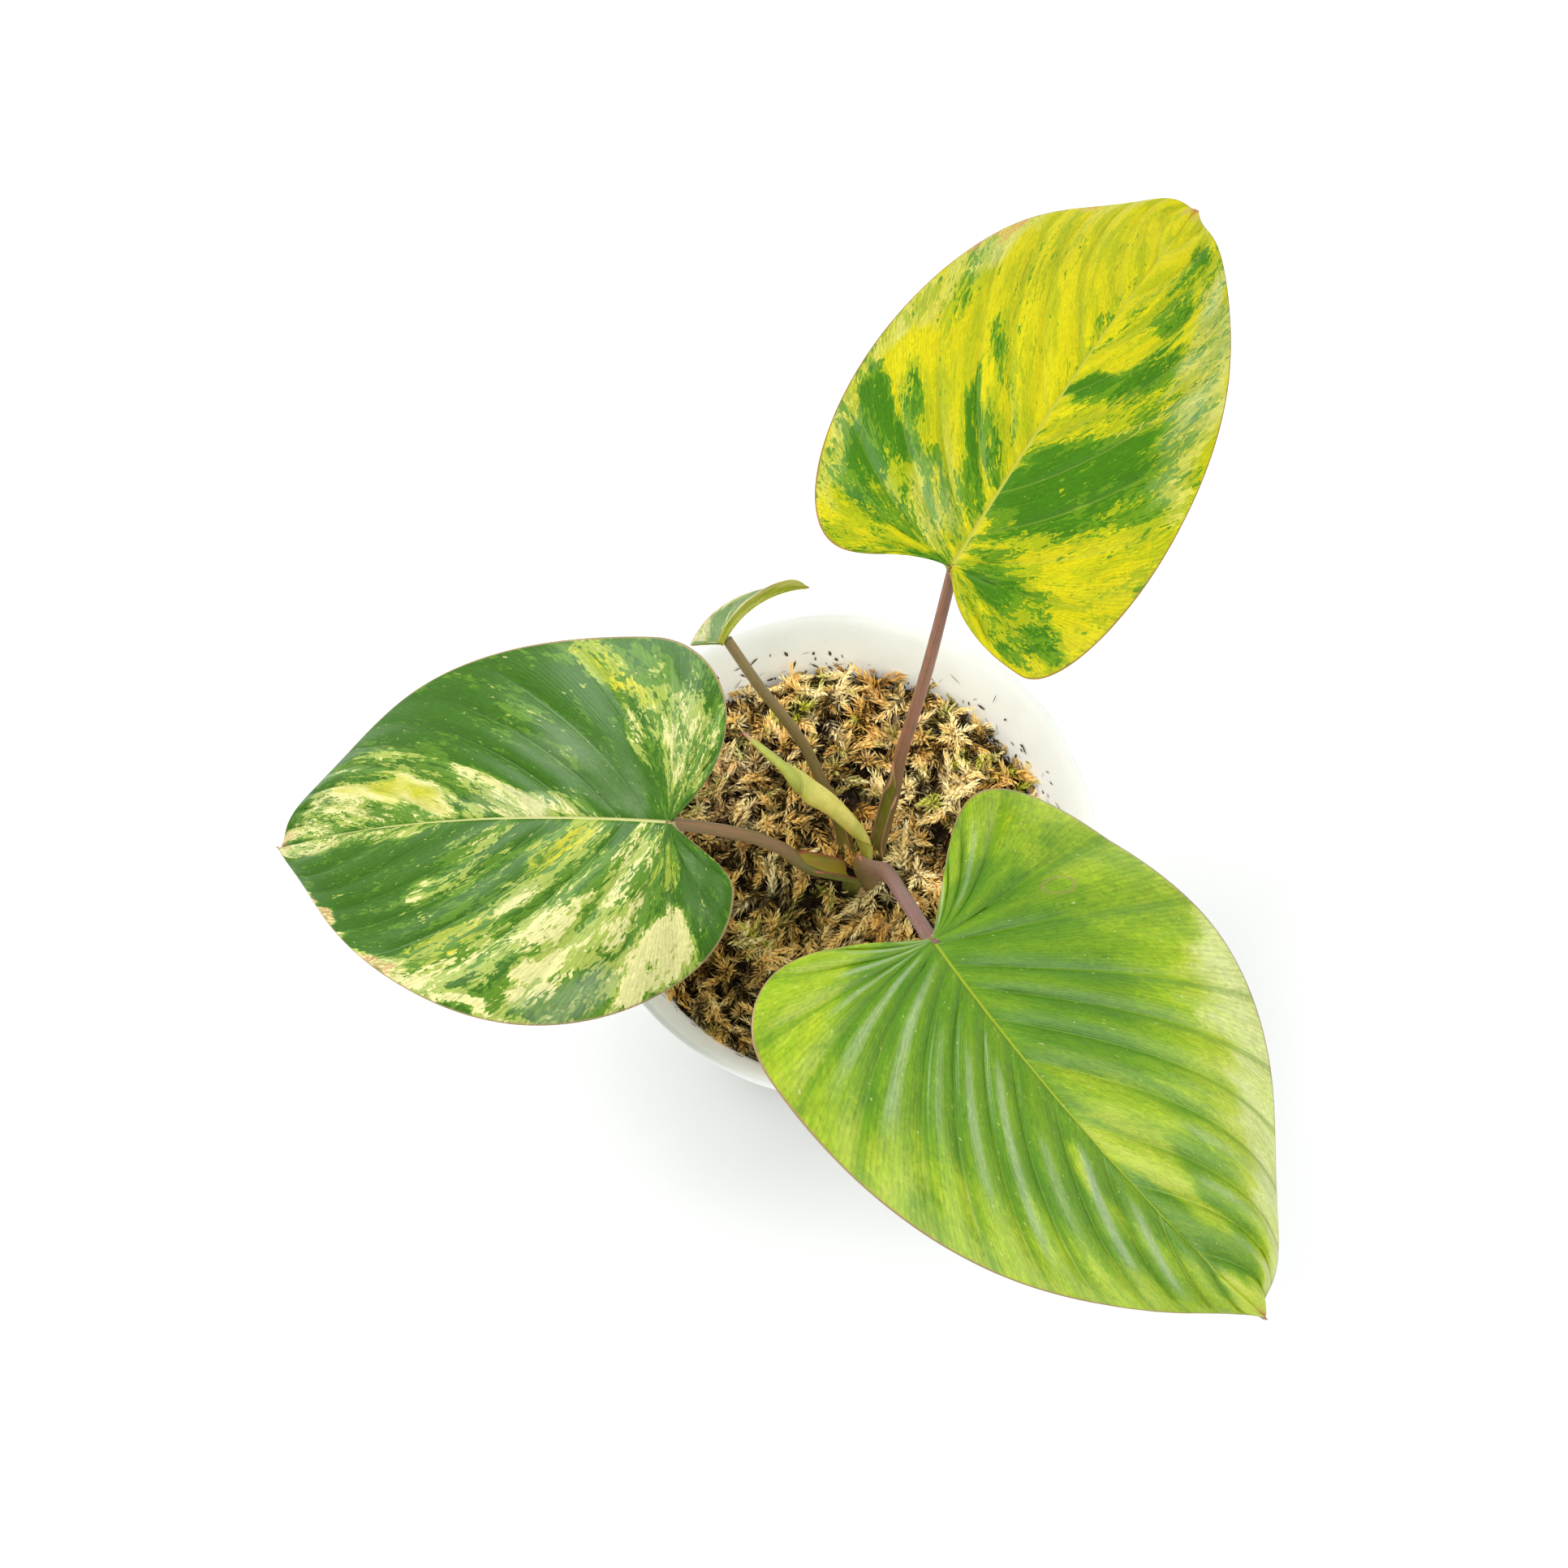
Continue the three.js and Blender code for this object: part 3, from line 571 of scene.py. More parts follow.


# Variegation: green is from -1, yellow or cream, to 1, solid green. Pale turns the yellow to
# cream, the grey-green bloom layer is partly the leaf's own waxy bloom and partly painted sheen,
# and scorch is a dry edge. Patches go over each other in order. A patch is: where it lies from
# the sinus to the tip and along the veins there, its half-width, its half-length, its value and,
# where it isn't 0, its lean. A ring is a small round mark: its place, and its radius in
# millimetres.

PATTERNS = {
    "a": {
        "green_base": -0.72,
        "green_left": [
            (0.06, 0.6, 0.11, 0.8, 0.6), (0.2, 0.08, 0.15, 0.14, 0.6, -0.2),
            (0.17, 0.7, 0.03, 0.35, -0.3), (0.12, 0.8, 0.05, 0.25, -0.1),
            (0.26, 0.62, 0.075, 0.4, 0.2, -0.05), (0.285, 0.78, 0.035, 0.2, 0.75, -0.1),
            (0.25, 0.45, 0.03, 0.3, 0.45, -0.1), (0.345, 0.55, 0.02, 0.3, 0.85, -0.12),
            (0.31, 0.22, 0.05, 0.22, -0.05, -0.25), (0.385, 0.25, 0.035, 0.26, 0.05, -0.08),
            (0.37, 0.6, 0.016, 0.14, 0.3, -0.08), (0.46, 0.14, 0.045, 0.24, 0.45, 0.1),
            (0.475, 0.27, 0.02, 0.17, 0.75, -0.05), (0.515, 0.2, 0.03, 0.2, 0.3, -0.12),
            (0.5, 0.36, 0.012, 0.12, 0.55, -0.1), (0.535, 0.45, 0.02, 0.18, 0.4, -0.12),
            (0.57, 0.1, 0.03, 0.1, 0.05), (0.57, 0.32, 0.04, 0.24, -0.35, 0.05),
            (0.44, 0.88, 0.04, 0.16, -0.15), (0.6, 0.68, 0.05, 0.24, -0.38, 0.1),
            (0.68, 0.6, 0.03, 0.24, -0.4, 0.1), (0.3, 0.97, 0.16, 0.08, -0.15),
            (0.79, 0.03, 0.08, 0.04, -0.2),
        ],
        "green_right": [
            (0.07, 0.5, 0.07, 0.5, -0.35), (0.14, 0.35, 0.06, 0.3, -0.05, -0.1),
            (0.24, 0.5, 0.075, 0.34, 0.05, -0.1), (0.27, 0.26, 0.07, 0.24, 0.75, -0.12),
            (0.21, 0.78, 0.03, 0.18, 0.5), (0.16, 0.72, 0.03, 0.2, 0.1), (0.39, 0.3, 0.055, 0.3, -0.1),
            (0.5, 0.2, 0.1, 0.3, 0.9, -0.1), (0.4, 0.1, 0.07, 0.12, 0.2),
            (0.45, 0.52, 0.075, 0.32, 0.85, -0.08), (0.38, 0.83, 0.05, 0.2, 0.35, -0.05),
            (0.47, 0.82, 0.06, 0.14, 0.35), (0.57, 0.55, 0.05, 0.28, -0.05, -0.05),
            (0.6, 0.2, 0.028, 0.18, -0.35, -0.15), (0.665, 0.17, 0.034, 0.24, 0.9, -0.12),
            (0.62, 0.5, 0.035, 0.3, 0.5, -0.05), (0.66, 0.54, 0.02, 0.12, 0.6, -0.05),
            (0.71, 0.25, 0.03, 0.28, -0.75, -0.1), (0.78, 0.22, 0.05, 0.2, -0.25, 0.02),
            (0.77, 0.62, 0.09, 0.3, 0), (0.82, 0.72, 0.05, 0.16, 0.45), (0.71, 0.62, 0.03, 0.16, 0.4),
            (0.6, 0.9, 0.2, 0.12, -0.1), (0.3, 0.95, 0.1, 0.12, -0.35),
        ],
        "pale_left": [(0.36, 0.95, 0.25, 0.14, 0.62), (0.3, 0.3, 0.06, 0.3, 0.6, -0.1)],
        "pale_right": [(0.55, 0.93, 0.25, 0.14, 0.7), (0.52, 0.6, 0.02, 0.3, 0.6)],
        "bloom_left": [(0.36, 0.95, 0.22, 0.14, 0.4), (0.36, 0.25, 0.06, 0.25, 0.4)],
        "bloom_right": [(0.54, 0.88, 0.2, 0.2, 0.5), (0.28, 0.2, 0.06, 0.15, 0.25)],
        "scorch_left": [(0.56, 1.01, 0.16, 0.05, 0.9), (0.98, 0.6, 0.03, 0.5, 0.6)],
        "scorch_right": [(0.98, 0.6, 0.03, 0.5, 0.6)],
    },
    "b": {
        "green_base": 0.85,
        "pale_base": 0.75,
        "green_left": [
            (0.25, 0.3, 0.05, 0.17, 0.1), (0.252, 0.8, 0.048, 0.24, -0.9),
            (0.36, 0.4, 0.085, 0.42, 0.05), (0.335, 0.5, 0.026, 0.2, -0.38, -0.04),
            (0.37, 0.12, 0.035, 0.14, -0.1), (0.31, 0.85, 0.03, 0.2, 0.2), (0.37, 0.8, 0.028, 0.2, -0.5),
            (0.412, 0.52, 0.026, 0.2, -0.4, -0.03), (0.44, 0.8, 0.035, 0.24, -0.15),
            (0.48, 0.28, 0.05, 0.34, 0.15), (0.48, 0.38, 0.018, 0.2, -0.3, -0.05),
            (0.475, 0.75, 0.03, 0.24, -0.1), (0.52, 0.13, 0.05, 0.16, -0.05),
            (0.575, 0.45, 0.05, 0.36, 0.35, -0.05), (0.622, 0.55, 0.02, 0.15, -0.2, -0.12),
            (0.645, 0.2, 0.035, 0.2, 0.2), (0.93, 0.3, 0.085, 0.36, -0.3, 0.15),
            (0.83, 0.1, 0.07, 0.14, -0.15, 0.2), (0.96, 0.75, 0.06, 0.35, -0.3),
            (0.5, 0.99, 0.3, 0.05, -0.3),
        ],
        "green_right": [
            (0.15, 0.55, 0.085, 0.45, 0.12, -0.05), (0.25, 0.5, 0.06, 0.5, -0.05, -0.05),
            (0.3, 0.8, 0.03, 0.2, -0.15), (0.32, 0.2, 0.026, 0.2, 0.7, -0.05),
            (0.322, 0.5, 0.012, 0.2, -0.25, -0.03), (0.42, 0.65, 0.02, 0.14, 0.3),
            (0.66, 0.55, 0.07, 0.5, 0.25), (0.575, 0.07, 0.065, 0.14, -0.4, 0.15),
            (0.6, 0.28, 0.02, 0.2, -0.35), (0.65, 0.03, 0.05, 0.05, -0.3),
            (0.84, 0.35, 0.12, 0.45, 0, 0.1), (0.735, 0.34, 0.055, 0.28, -0.95, 0.08),
            (0.77, 0.6, 0.045, 0.17, -0.8, 0.1), (0.83, 0.45, 0.03, 0.16, -0.4),
            (0.82, 0.7, 0.06, 0.12, -0.2, 0.1), (0.94, 0.5, 0.06, 0.6, -0.2),
        ],
        "pale_left": [
            (0.52, 0.15, 0.06, 0.2, 0.1), (0.47, 0.75, 0.03, 0.2, 0.1), (0.26, 0.3, 0.06, 0.15, 0.1),
        ],
        "pale_right": [(0.3, 0.8, 0.04, 0.2, 0.1), (0.74, 0.4, 0.07, 0.35, 0.45)],
        "scorch_left": [
            (0.66, 1, 0.1, 0.07, 0.9), (0.5, 1.01, 0.06, 0.05, 0.7), (0.98, 0.6, 0.03, 0.5, 0.6),
        ],
        "scorch_right": [(0.97, 0.7, 0.05, 0.4, 0.7)],
        "bloom_left": [
            (0.15, 0.6, 0.08, 0.4, 0.35), (0.5, 0.3, 0.08, 0.4, 0.25), (0.33, 0.85, 0.05, 0.15, 0.6),
            (0.95, 0.5, 0.08, 0.6, 0.4),
        ],
        "bloom_right": [
            (0.42, 0.25, 0.1, 0.35, 0.42), (0.23, 0.6, 0.05, 0.35, 0.4), (0.6, 0.1, 0.1, 0.12, 0.5),
            (0.82, 0.7, 0.08, 0.15, 0.4),
        ],
    },
    "c": {
        "green_base": 0.62,
        "ring": (0.297, 0.635, 3.1),
        "green_left": [
            (0.3, 0.25, 0.3, 0.3, 0.85), (0.6, 1, 0.42, 0.5, 0), (0.64, 1.08, 0.44, 0.32, -0.55),
            (0.63, 0.3, 0.05, 0.25, 0.1), (0.76, 0.14, 0.05, 0.22, -0.18, 0.1),
            (0.82, 0.38, 0.03, 0.16, -0.1), (0.7, 0.2, 0.05, 0.2, -0.05, 0.1),
            (0.98, 0.5, 0.06, 0.9, -0.5), (0.2, 0.8, 0.2, 0.2, 0.2),
        ],
        "green_right": [
            (0.3, 0.2, 0.2, 0.3, 0.8), (0.5, 1.02, 0.6, 0.34, 0.05), (0.68, 0.24, 0.02, 0.12, -0.1),
            (0.22, 0.75, 0.09, 0.22, 0), (0.75, 0.45, 0.06, 0.2, 0.25), (0.85, 0.5, 0.06, 0.24, 0.15),
            (0.9, 0.8, 0.1, 0.3, 0.1), (0.98, 0.5, 0.06, 0.9, -0.25),
        ],
        "pale_left": [(0.64, 1.02, 0.4, 0.3, 0.7)],
        "bloom_left": [
            (0.75, 0.75, 0.22, 0.4, 0.6), (0.07, 0.6, 0.04, 0.45, 1), (0.19, 0.6, 0.05, 0.35, 0.7),
            (0.45, 0.85, 0.15, 0.2, 0.3),
        ],
        "bloom_right": [
            (0.16, 0.3, 0.14, 0.45, 1), (0.34, 0.45, 0.1, 0.4, 0.8), (0.52, 0.5, 0.1, 0.4, 0.75),
            (0.72, 0.45, 0.12, 0.4, 0.85),
        ],
    },
    "d": {
        "green_base": 0.15,
        "pale_base": 0.8,
        "green_left": [
            (0.3, 0.5, 0.2, 0.5, 0.5), (0.1, 0.5, 0.1, 0.8, 0.9), (0.6, 0.5, 0.25, 0.4, 0.6),
            (0.28, 0.75, 0.05, 0.3, -0.45), (0.5, 0.98, 0.5, 0.09, -0.5), (0.2, 0.25, 0.04, 0.3, -0.4),
            (0.45, 0.3, 0.03, 0.3, -0.3, 0.1),
        ],
        "green_right": [
            (0.5, 0.5, 0.5, 0.6, 0.35), (0.6, 0.85, 0.5, 0.25, -0.7), (0.5, 0.1, 0.5, 0.12, -0.5),
        ],
        "bloom_left": [(0.5, 0.5, 0.6, 0.8, 0.5)],
        "bloom_right": [(0.5, 0.5, 0.6, 0.8, 0.1)],
    },
}

TONE_NAMES = ("yellow", "cream", "lime", "green", "dark", "vein", "rib", "rim", "under")
LEAF_TONES = {
    "a": ((228, 219, 0), (226, 222, 84), (176, 192, 10), (112, 160, 14), (74, 134, 0), (176, 198, 80),
          (206, 206, 70), (176, 124, 60), (178, 192, 110)),
    "b": ((226, 222, 48), (255, 249, 170), (166, 192, 62), (104, 152, 32), (66, 120, 8), (130, 166, 86),
          (222, 222, 140), (196, 164, 120), (158, 178, 128)),
    "c": ((218, 227, 88), (230, 238, 154), (188, 214, 8), (138, 184, 0), (88, 146, 0), (166, 202, 30),
          (170, 190, 30), (186, 140, 104), (158, 180, 110)),
    # Leaf d's under tone is made bright: partly its underside's paler colour and partly painted light
    # shining through the thin leaf.
    "d": ((206, 206, 60), (236, 226, 164), (164, 186, 40), (118, 152, 66), (96, 142, 30), (190, 200, 130),
          (222, 206, 90), (216, 170, 110), (212, 218, 10)),
}
# Grey-green tone laid over the leaves: partly their own waxy bloom and partly painted sheen.
BLOOM_AND_SHEEN = (188, 206, 168)
TIP = (206, 110, 70)
SCORCH = (222, 158, 110)
RING_SCALE = (275, 47)  # millimetres across and along the veins at the ring
LEAF_LOOKS = {
    "a": {"mottle": 1.0, "soft": 0.05, "gloss": 0.4, "shine": 0.15, "tinge": 0.75},
    "b": {"mottle": 1.0, "soft": 0.05, "gloss": 0.38, "shine": 0.25},
    "c": {"mottle": 0.36, "soft": 0.45, "gloss": 0.3, "shine": 0.4, "ridges": 0.22, "lined": 1.0},
    "d": {"mottle": 0.9, "soft": 0.08, "gloss": 0.42, "shine": 0.3},
}


def per(width, length):
    """The noise scales for spots of a width and length in millimetres."""
    return 1 / width, 1 / length, 1


def blotches(f, sheet, number):
    """Random steps in patches that are drawn out along the veins, round 0. Each number
    gives patches of its own. The sheet is in millimetres across and along the veins."""
    shift = {"operation": "ADD"}
    place = f.node("ShaderNodeVectorMath", shift, {0: sheet, 1: (37.3 * number, 61.7 * number, 0)})[0]
    value = 2.2 * (f.noise(place, per(6, 14)) - 0.5)
    for width, length, share in ((2.4, 5.5, 0.5), (1.2, 2.3, 0.55), (0.6, 1.0, 0.5)):
        value = value + share * (f.cells(place, per(width, length)) - 0.5)
    return value


def leaf_finish(name, mottle, soft, gloss, shine, tinge=0.4, ridges=0.0, lined=0.0):
    """A leaf's skin. Mottle breaks up the patches and soft is how wide their edges are, tinge
    is the share of lime in the yellow. Ridges lays lime between veins, partly the leaf's own colour
    and partly painted highlight, and paints shade toward the veins; lined lays painted shade in
    the veins' grooves and keeps the grey-green painted sheen to one flank of each ridge."""
    tones = dict(zip(TONE_NAMES, LEAF_TONES[name]))
    f = Finish(f"leaf_{name}", LEAF_LIT)
    grain = f.uv()
    w, u, _ = f.parts(grain)
    size = BLADES[name]["length"] / FULL_LENGTH
    across, along = ACROSS * size, ALONG * size
    wander = f.noise(grain, (across / 6, along / 9, 1), 2) - 0.5
    sheet = f.joined(w * across + wander * 2.2, u * along + wander * 6)
    field, number = f.attribute("green"), f.attribute("vein")
    upper = field + mottle * blotches(f, sheet, 0) - 0.06
    lower = field + mottle * blotches(f, sheet, 1) + 0.2
    haze = f.noise(sheet, per(12, 16)) - 0.5
    streak = f.noise(sheet, per(0.7, 14), 2)
    fine = streak - 0.5
    drift = f.noise(sheet, per(7, 20), 4)
    grit = f.cells(sheet, per(0.45, 0.8))
    thread = f.noise(sheet, per(0.28, 9), 2) - 0.5
    pale = f.step(f.attribute("pale") + 0.9 * haze, 0.3, 0.62)
    light = f.mix(pale, tones["yellow"], tones["cream"])
    tinged = f.step(drift + 0.3 * fine, 0.44, 0.62) * tinge * (1 - 0.7 * pale)
    light = f.mix(tinged, light, tones["lime"])
    leafy, deep = f.step(upper, -soft, soft), f.step(lower, -soft, soft)
    f.colour = f.mix(deep * 0.85, light, tones["lime"])
    f.lay(leafy, tones["green"])
    f.lay(leafy * f.step(lower - 0.55, -soft, soft + 0.1), tones["dark"])
    # The grey-green tone laid here is partly the leaf's waxy bloom and partly painted sheen; with lined
    # it keeps to one flank of each ridge, as painted sheen streaks along the veins.
    flank = 1 - f.step(abs(number.fract() - 0.4 + 0.16 * fine), 0.03, 0.19)
    bloom = f.step(f.attribute("bloom") + 0.7 * haze, 0.15, 1.0) * (1 - lined * (1 - flank))
    f.lay(bloom * 0.6, BLOOM_AND_SHEEN)
    hatch = abs((w * across / 0.85 + 0.6 * fine).fract() - 0.5)
    # Lime on the ridges between veins is partly the leaf's own colour and partly painted highlight; the
    # ridges term in the shade below is painted shade toward the veins and painted highlight on the
    # ridges.
    ridge = 1 - 2 * abs(number.fract() - 0.5)
    f.lay(ridge * ridges * f.step(drift, 0.3, 0.6), tones["lime"])
    f.shade(1.0 + 0.26 * fine + 0.3 * haze + 0.24 * (grit - 0.5) + 0.3 * thread
            - 0.13 * f.step(hatch, 0.2, 0.5) + 0.5 * ridges * (ridge - 0.6))
    vein = 1 - f.step(abs((number + 0.5).fract() - 0.5), 0.012, 0.05)
    f.lay(vein * (1 - f.step(u, 0.5, 1.0)) * 0.25, tones["vein"])
    # Painted shade: with lined, a thin dark line is laid in the groove along each vein.
    groove = 1 - f.step(abs((number + 0.42).fract() - 0.5), 0.02, 0.1)
    f.lay(groove * lined * f.step(u, 0.1, 0.4) * 0.4, tones["dark"])
    f.lay(1 - f.step(f.attribute("rib"), 0.15, 0.45), tones["rib"])
    speck = f.step(f.cells(sheet, (2.6, 2.2, 1)), 0.9965, 0.998)
    f.lay(speck * 0.5, tones["cream"])
    if "ring" in PATTERNS[name]:
        ring_w, ring_u, ring_mm = PATTERNS[name]["ring"]
        x, y = (w - ring_w) * RING_SCALE[0], (u - ring_u) * RING_SCALE[1]
        far = abs((x * x + y * y) ** 0.5 - ring_mm + 0.6 * (drift - 0.5))
        f.lay((1 - f.step(far, 0.1, 0.5)) * 0.45, tones["rim"])
    scorch = f.step(f.attribute("scorch") + 0.9 * (drift - 0.5), 0.4, 0.75)
    f.lay(scorch * 0.75, f.mix(f.step(grit, 0.3, 0.8), SCORCH, tones["cream"]))
    rim = 1 - f.step(f.attribute("edge") + 0.5 * haze, 0.2, 0.6)
    f.lay(rim * 0.8, tones["rim"])
    f.lay(f.step(f.attribute("tip"), 0.975, 0.998) * 0.8, TIP)
    # Undersides take the under tone: their own paler colour, and on leaf d also painted light shining
    # through.
    under = f.attribute("under")
    f.lay(under * 0.55, tones["under"])
    pores = f.noise(sheet, (4, 1.5, 1), 1)
    height = streak * 0.6 + pores * 0.25 + f.step(hatch, 0.0, 0.5) * 0.25
    rough = gloss + 0.16 * haze + 0.12 * bloom + 0.2 * under
    return f.close({"Roughness": rough, "Normal": f.bump(height, 0.00014, 0.6),
                    "Specular IOR Level": shine, "Coat Weight": 0.06, "Coat Roughness": 0.25})


# Stalks

CROWN = np.array([6.0, -1.0, 76.3])
CROWN_RING = 5.5  # how far the stalks stand from the crown's middle
GAP = 0.3  # between pieces that touch on the real plant
SHEATH_HOLLOW = 0.72
STALK_JOIN = 1.6  # how far along the midrib a stalk ends
STALK_GRID = (150, 44)

STALKS = {
    "a": {"turn": 50, "path": [(10, 6, 93), (14, 15, 114), (20, 27.5, 145)],
          "sheath": (3.6, 3.0), "deep": 3.1, "closing": (0.26, 0.44), "radius": (1.8, 1.4), "twist": 34},
    "b": {"turn": 240, "path": [(3.6, -6.3, 97), (-8.8, -9, 114), (-23, -9.8, 133)],
          "sheath": (2.4, 4.3), "deep": 3.6, "closing": (0.42, 0.6), "growing": (0.05, 0.32),
          "radius": (1.9, 1.5), "twist": 15},
    "c": {"turn": 295, "path": [(7.2, -7.5, 97), (7.6, -11, 114), (10, -17.5, 130), (14, -33, 152)],
          "sheath": (1.9, 4.7), "deep": 3.6, "closing": (0.42, 0.56), "growing": (0.06, 0.36),
          "radius": (2, 1.7), "twist": 60},
    "d": {"turn": 140, "path": [(-2, 10, 99), (-9, 20, 116), (-21, 29, 136)],
          "sheath": (4, 2.8), "deep": 2.8, "closing": (0.26, 0.42), "radius": (1.6, 1.3), "twist": 100},
}


def between(x, low, high, first, last):
    return (high - x) / (high - low) * first + (x - low) / (high - low) * last


def curve_through(way, count):
    """Points at even steps along a smooth curve through the given ones, with its direction."""
    way = np.array(way, float)
    ends = np.concatenate([[2 * way[0] - way[1]], way, [2 * way[-1] - way[-2]]])
    dense = []
    for i in range(len(way) - 1):
        p = ends[i:i + 4]
        gaps = np.maximum(np.linalg.norm(np.diff(p, axis=0), axis=1) ** 0.5, 1e-4)
        t = np.concatenate([[0], np.cumsum(gaps)])
        x = np.linspace(t[1], t[2], 200, endpoint=i == len(way) - 2)[:, None]
        a = [between(x, t[k], t[k + 1], p[k], p[k + 1]) for k in range(3)]
        b = [between(x, t[k], t[k + 2], a[k], a[k + 1]) for k in range(2)]
        dense.append(between(x, t[1], t[2], *b))
    dense = np.concatenate(dense)
    run = np.concatenate([[0], np.cumsum(np.linalg.norm(np.diff(dense, axis=0), axis=1))])
    share = np.linspace(0, 1, count)
    points = np.stack([np.interp(share * run[-1], run, dense[:, k]) for k in range(3)], -1)
    return share, points, unit(np.gradient(points, axis=0))


def carried(along, side):
    """Two directions across a curve that turn as little as they can."""
    xs = []
    x = np.array(side, float)
    for tangent in along:
        x = unit(x - tangent * np.dot(x, tangent))
        xs.append(x)
    xs = np.array(xs)
    return xs, np.cross(along, xs)


def rings_on(points, x, y, across, up):
    """Rings round a curve's points, from each ring point's distances along x and y."""
    return points[:, None] + x[:, None] * across[..., None] + y[:, None] * up[..., None]


def closed_tube(name, rings, material, turn=0.0, share=0.0, fields=None):
    """A mesh of rings of points, shut with a fan at each end. The grain is how far round and
    how far along the tube a point is."""
    count, sides = rings.shape[:2]
    points = rings.reshape(-1, 3)
    uv = np.zeros((count, sides, 2))
    uv[..., 0], uv[..., 1] = turn, np.reshape(share, (-1, 1))
    uv = uv.reshape(-1, 2)
    faces, centres = [grid_faces(count, sides, wrap=True)], []
    ends = [0, (count - 1) * sides]
    a, b = np.arange(sides), (np.arange(sides) + 1) % sides
    for start, way in zip(ends, (-1, 1)):
        hub = np.full(sides, len(points) + len(centres))
        faces.append(np.stack([hub, start + a, start + b], -1)[:, ::way])
        centres.append(points[start:start + sides].mean(0))
    points, uv = np.concatenate([points, centres]), np.concatenate([uv, uv[ends]])
    fields = {key: np.concatenate([value, value[ends]]) for key, value in (fields or {}).items()}
    return make_piece(name, points, np.concatenate(faces), material, uv, fields)


def make_stalk(name, material):
    """A stalk that is an open sheath at its foot and closes to a round rod higher up."""
    stalk, blade = STALKS[name], BLADES[name]
    turn = math.radians(stalk["turn"])
    foot = CROWN + CROWN_RING * np.array([math.cos(turn), math.sin(turn), 0])
    at, _, up = (v[0] for v in midrib_at(blade, np.array([STALK_JOIN])))
    top = at - up * (THICKNESS / 2 + GAP + 0.05)
    way = [foot, foot + 7 * UP, *stalk["path"], top]
    count, sides = STALK_GRID
    share, points, along = curve_through(way, count)
    x, y = carried(along, (-math.sin(turn), math.cos(turn), 0))
    twist = np.radians(stalk["twist"]) * smooth(0.0, 0.15, share)[:, None]
    x, y = x * np.cos(twist) - y * np.sin(twist), y * np.cos(twist) + x * np.sin(twist)
    round_off = smooth(*stalk["closing"], share)
    slim = stalk["radius"][0] + (stalk["radius"][1] - stalk["radius"][0]) * share
    low, high = stalk["sheath"]
    swell = smooth(*stalk.get("growing", (0.03, 0.16)), share)
    half = low + (high - low) * swell
    half = half + (slim - half) * round_off
    deep = stalk["deep"] * (0.6 + 0.4 * swell)
    deep = deep + (slim - deep) * round_off
    inner = -SHEATH_HOLLOW * (0.3 + 0.7 * smooth(0.04, 0.28, share))
    inner = inner + (1 - inner) * round_off
    half, deep, inner = half[:, None], deep[:, None], inner[:, None]
    c, s = np.cos(around(sides))[None], np.sin(around(sides))[None]
    out = np.where(s > 0, s * inner, s)
    lens = (1.15 * (1 - round_off) - 0.15)[:, None]
    mouth = np.where(s > 0, lens - np.abs(c), -np.abs(s)) * half
    lip_x = np.clip(lens, 0, 1)
    lip_y = inner * np.sqrt(1 - lip_x**2)
    near = np.hypot((np.abs(c) - lip_x) * half, (out - lip_y) * deep)
    fields = {"hollow": mouth.ravel(), "margin": (near + 6 * smooth(0.0, -0.15, lens)).ravel()}
    piece = closed_tube(f"stalk_{name}", rings_on(points, x, y, half * c, deep * out), material,
                        np.arange(sides) / sides, share, fields)
    settle(piece, f"petiole_{name}", f"petiole_{name}")


STALK_TONES = {
    "a": ((164, 108, 82), (112, 82, 56), (124, 132, 22), (214, 162, 132), (108, 92, 46)),
    "b": ((156, 112, 74), (112, 98, 50), (200, 180, 26), (206, 112, 90), (98, 116, 36)),
    "c": ((140, 98, 92), (104, 76, 58), (190, 176, 50), (206, 118, 100), (112, 92, 40)),
    "d": ((142, 116, 62), (104, 92, 44), (126, 132, 28), (196, 150, 112), (104, 84, 32)),
}


def stalk_finish(name):
    main, shade, hollow, margin, base = STALK_TONES[name]
    closing, closed = STALKS[name]["closing"]
    f = Finish(f"stalk_{name}")
    turn, along, _ = f.parts(f.uv())
    angle = turn * 2 * math.pi
    rod = f.joined(angle.maths("SINE", angle), angle.maths("COSINE", angle), along * 2)
    streak = f.noise(rod, (9, 9, 3))
    fine = f.noise(rod, (26, 26, 5), 2)
    mottle = f.noise(f.place(), 420)
    f.colour = f.mix(f.step(streak + 0.4 * (mottle - 0.5) + 0.3 * (fine - 0.5), 0.38, 0.66), main, shade)
    low = 1 - f.step(along + 0.3 * (streak - 0.5), 0.6 * closed, 1.1 * closed)
    f.lay(low * 0.8, base)
    rusty = f.step(streak + 0.3 * (mottle - 0.5), 0.5, 0.7)
    within = f.mix(f.step(along, 0.55 * closed, 0.95 * closed), f.mix(0.35, hollow, base), hollow)
    within = f.mix(rusty * 0.6, within, f.mix(0.4, margin, shade))
    f.lay(f.step(f.attribute("hollow"), -0.1, 0.15), within)
    lip = f.mix(f.step(along, 0.5 * (closing + closed), closed), margin, (214, 92, 84))
    f.lay(1 - f.step(f.attribute("margin"), 0.25, 0.6), lip)
    f.shade(0.98 + 0.5 * (mottle - 0.5) + 0.5 * (streak - 0.5) + 0.5 * (fine - 0.5))
    normal = f.bump(streak * 0.4 + fine * 0.4 + mottle * 0.4, 0.0002, 0.8)
    return f.close({"Roughness": 0.42 + 0.15 * (mottle - 0.5), "Normal": normal,
                    "Coat Weight": 0.1, "Coat Roughness": 0.3})


# Rolled leaf

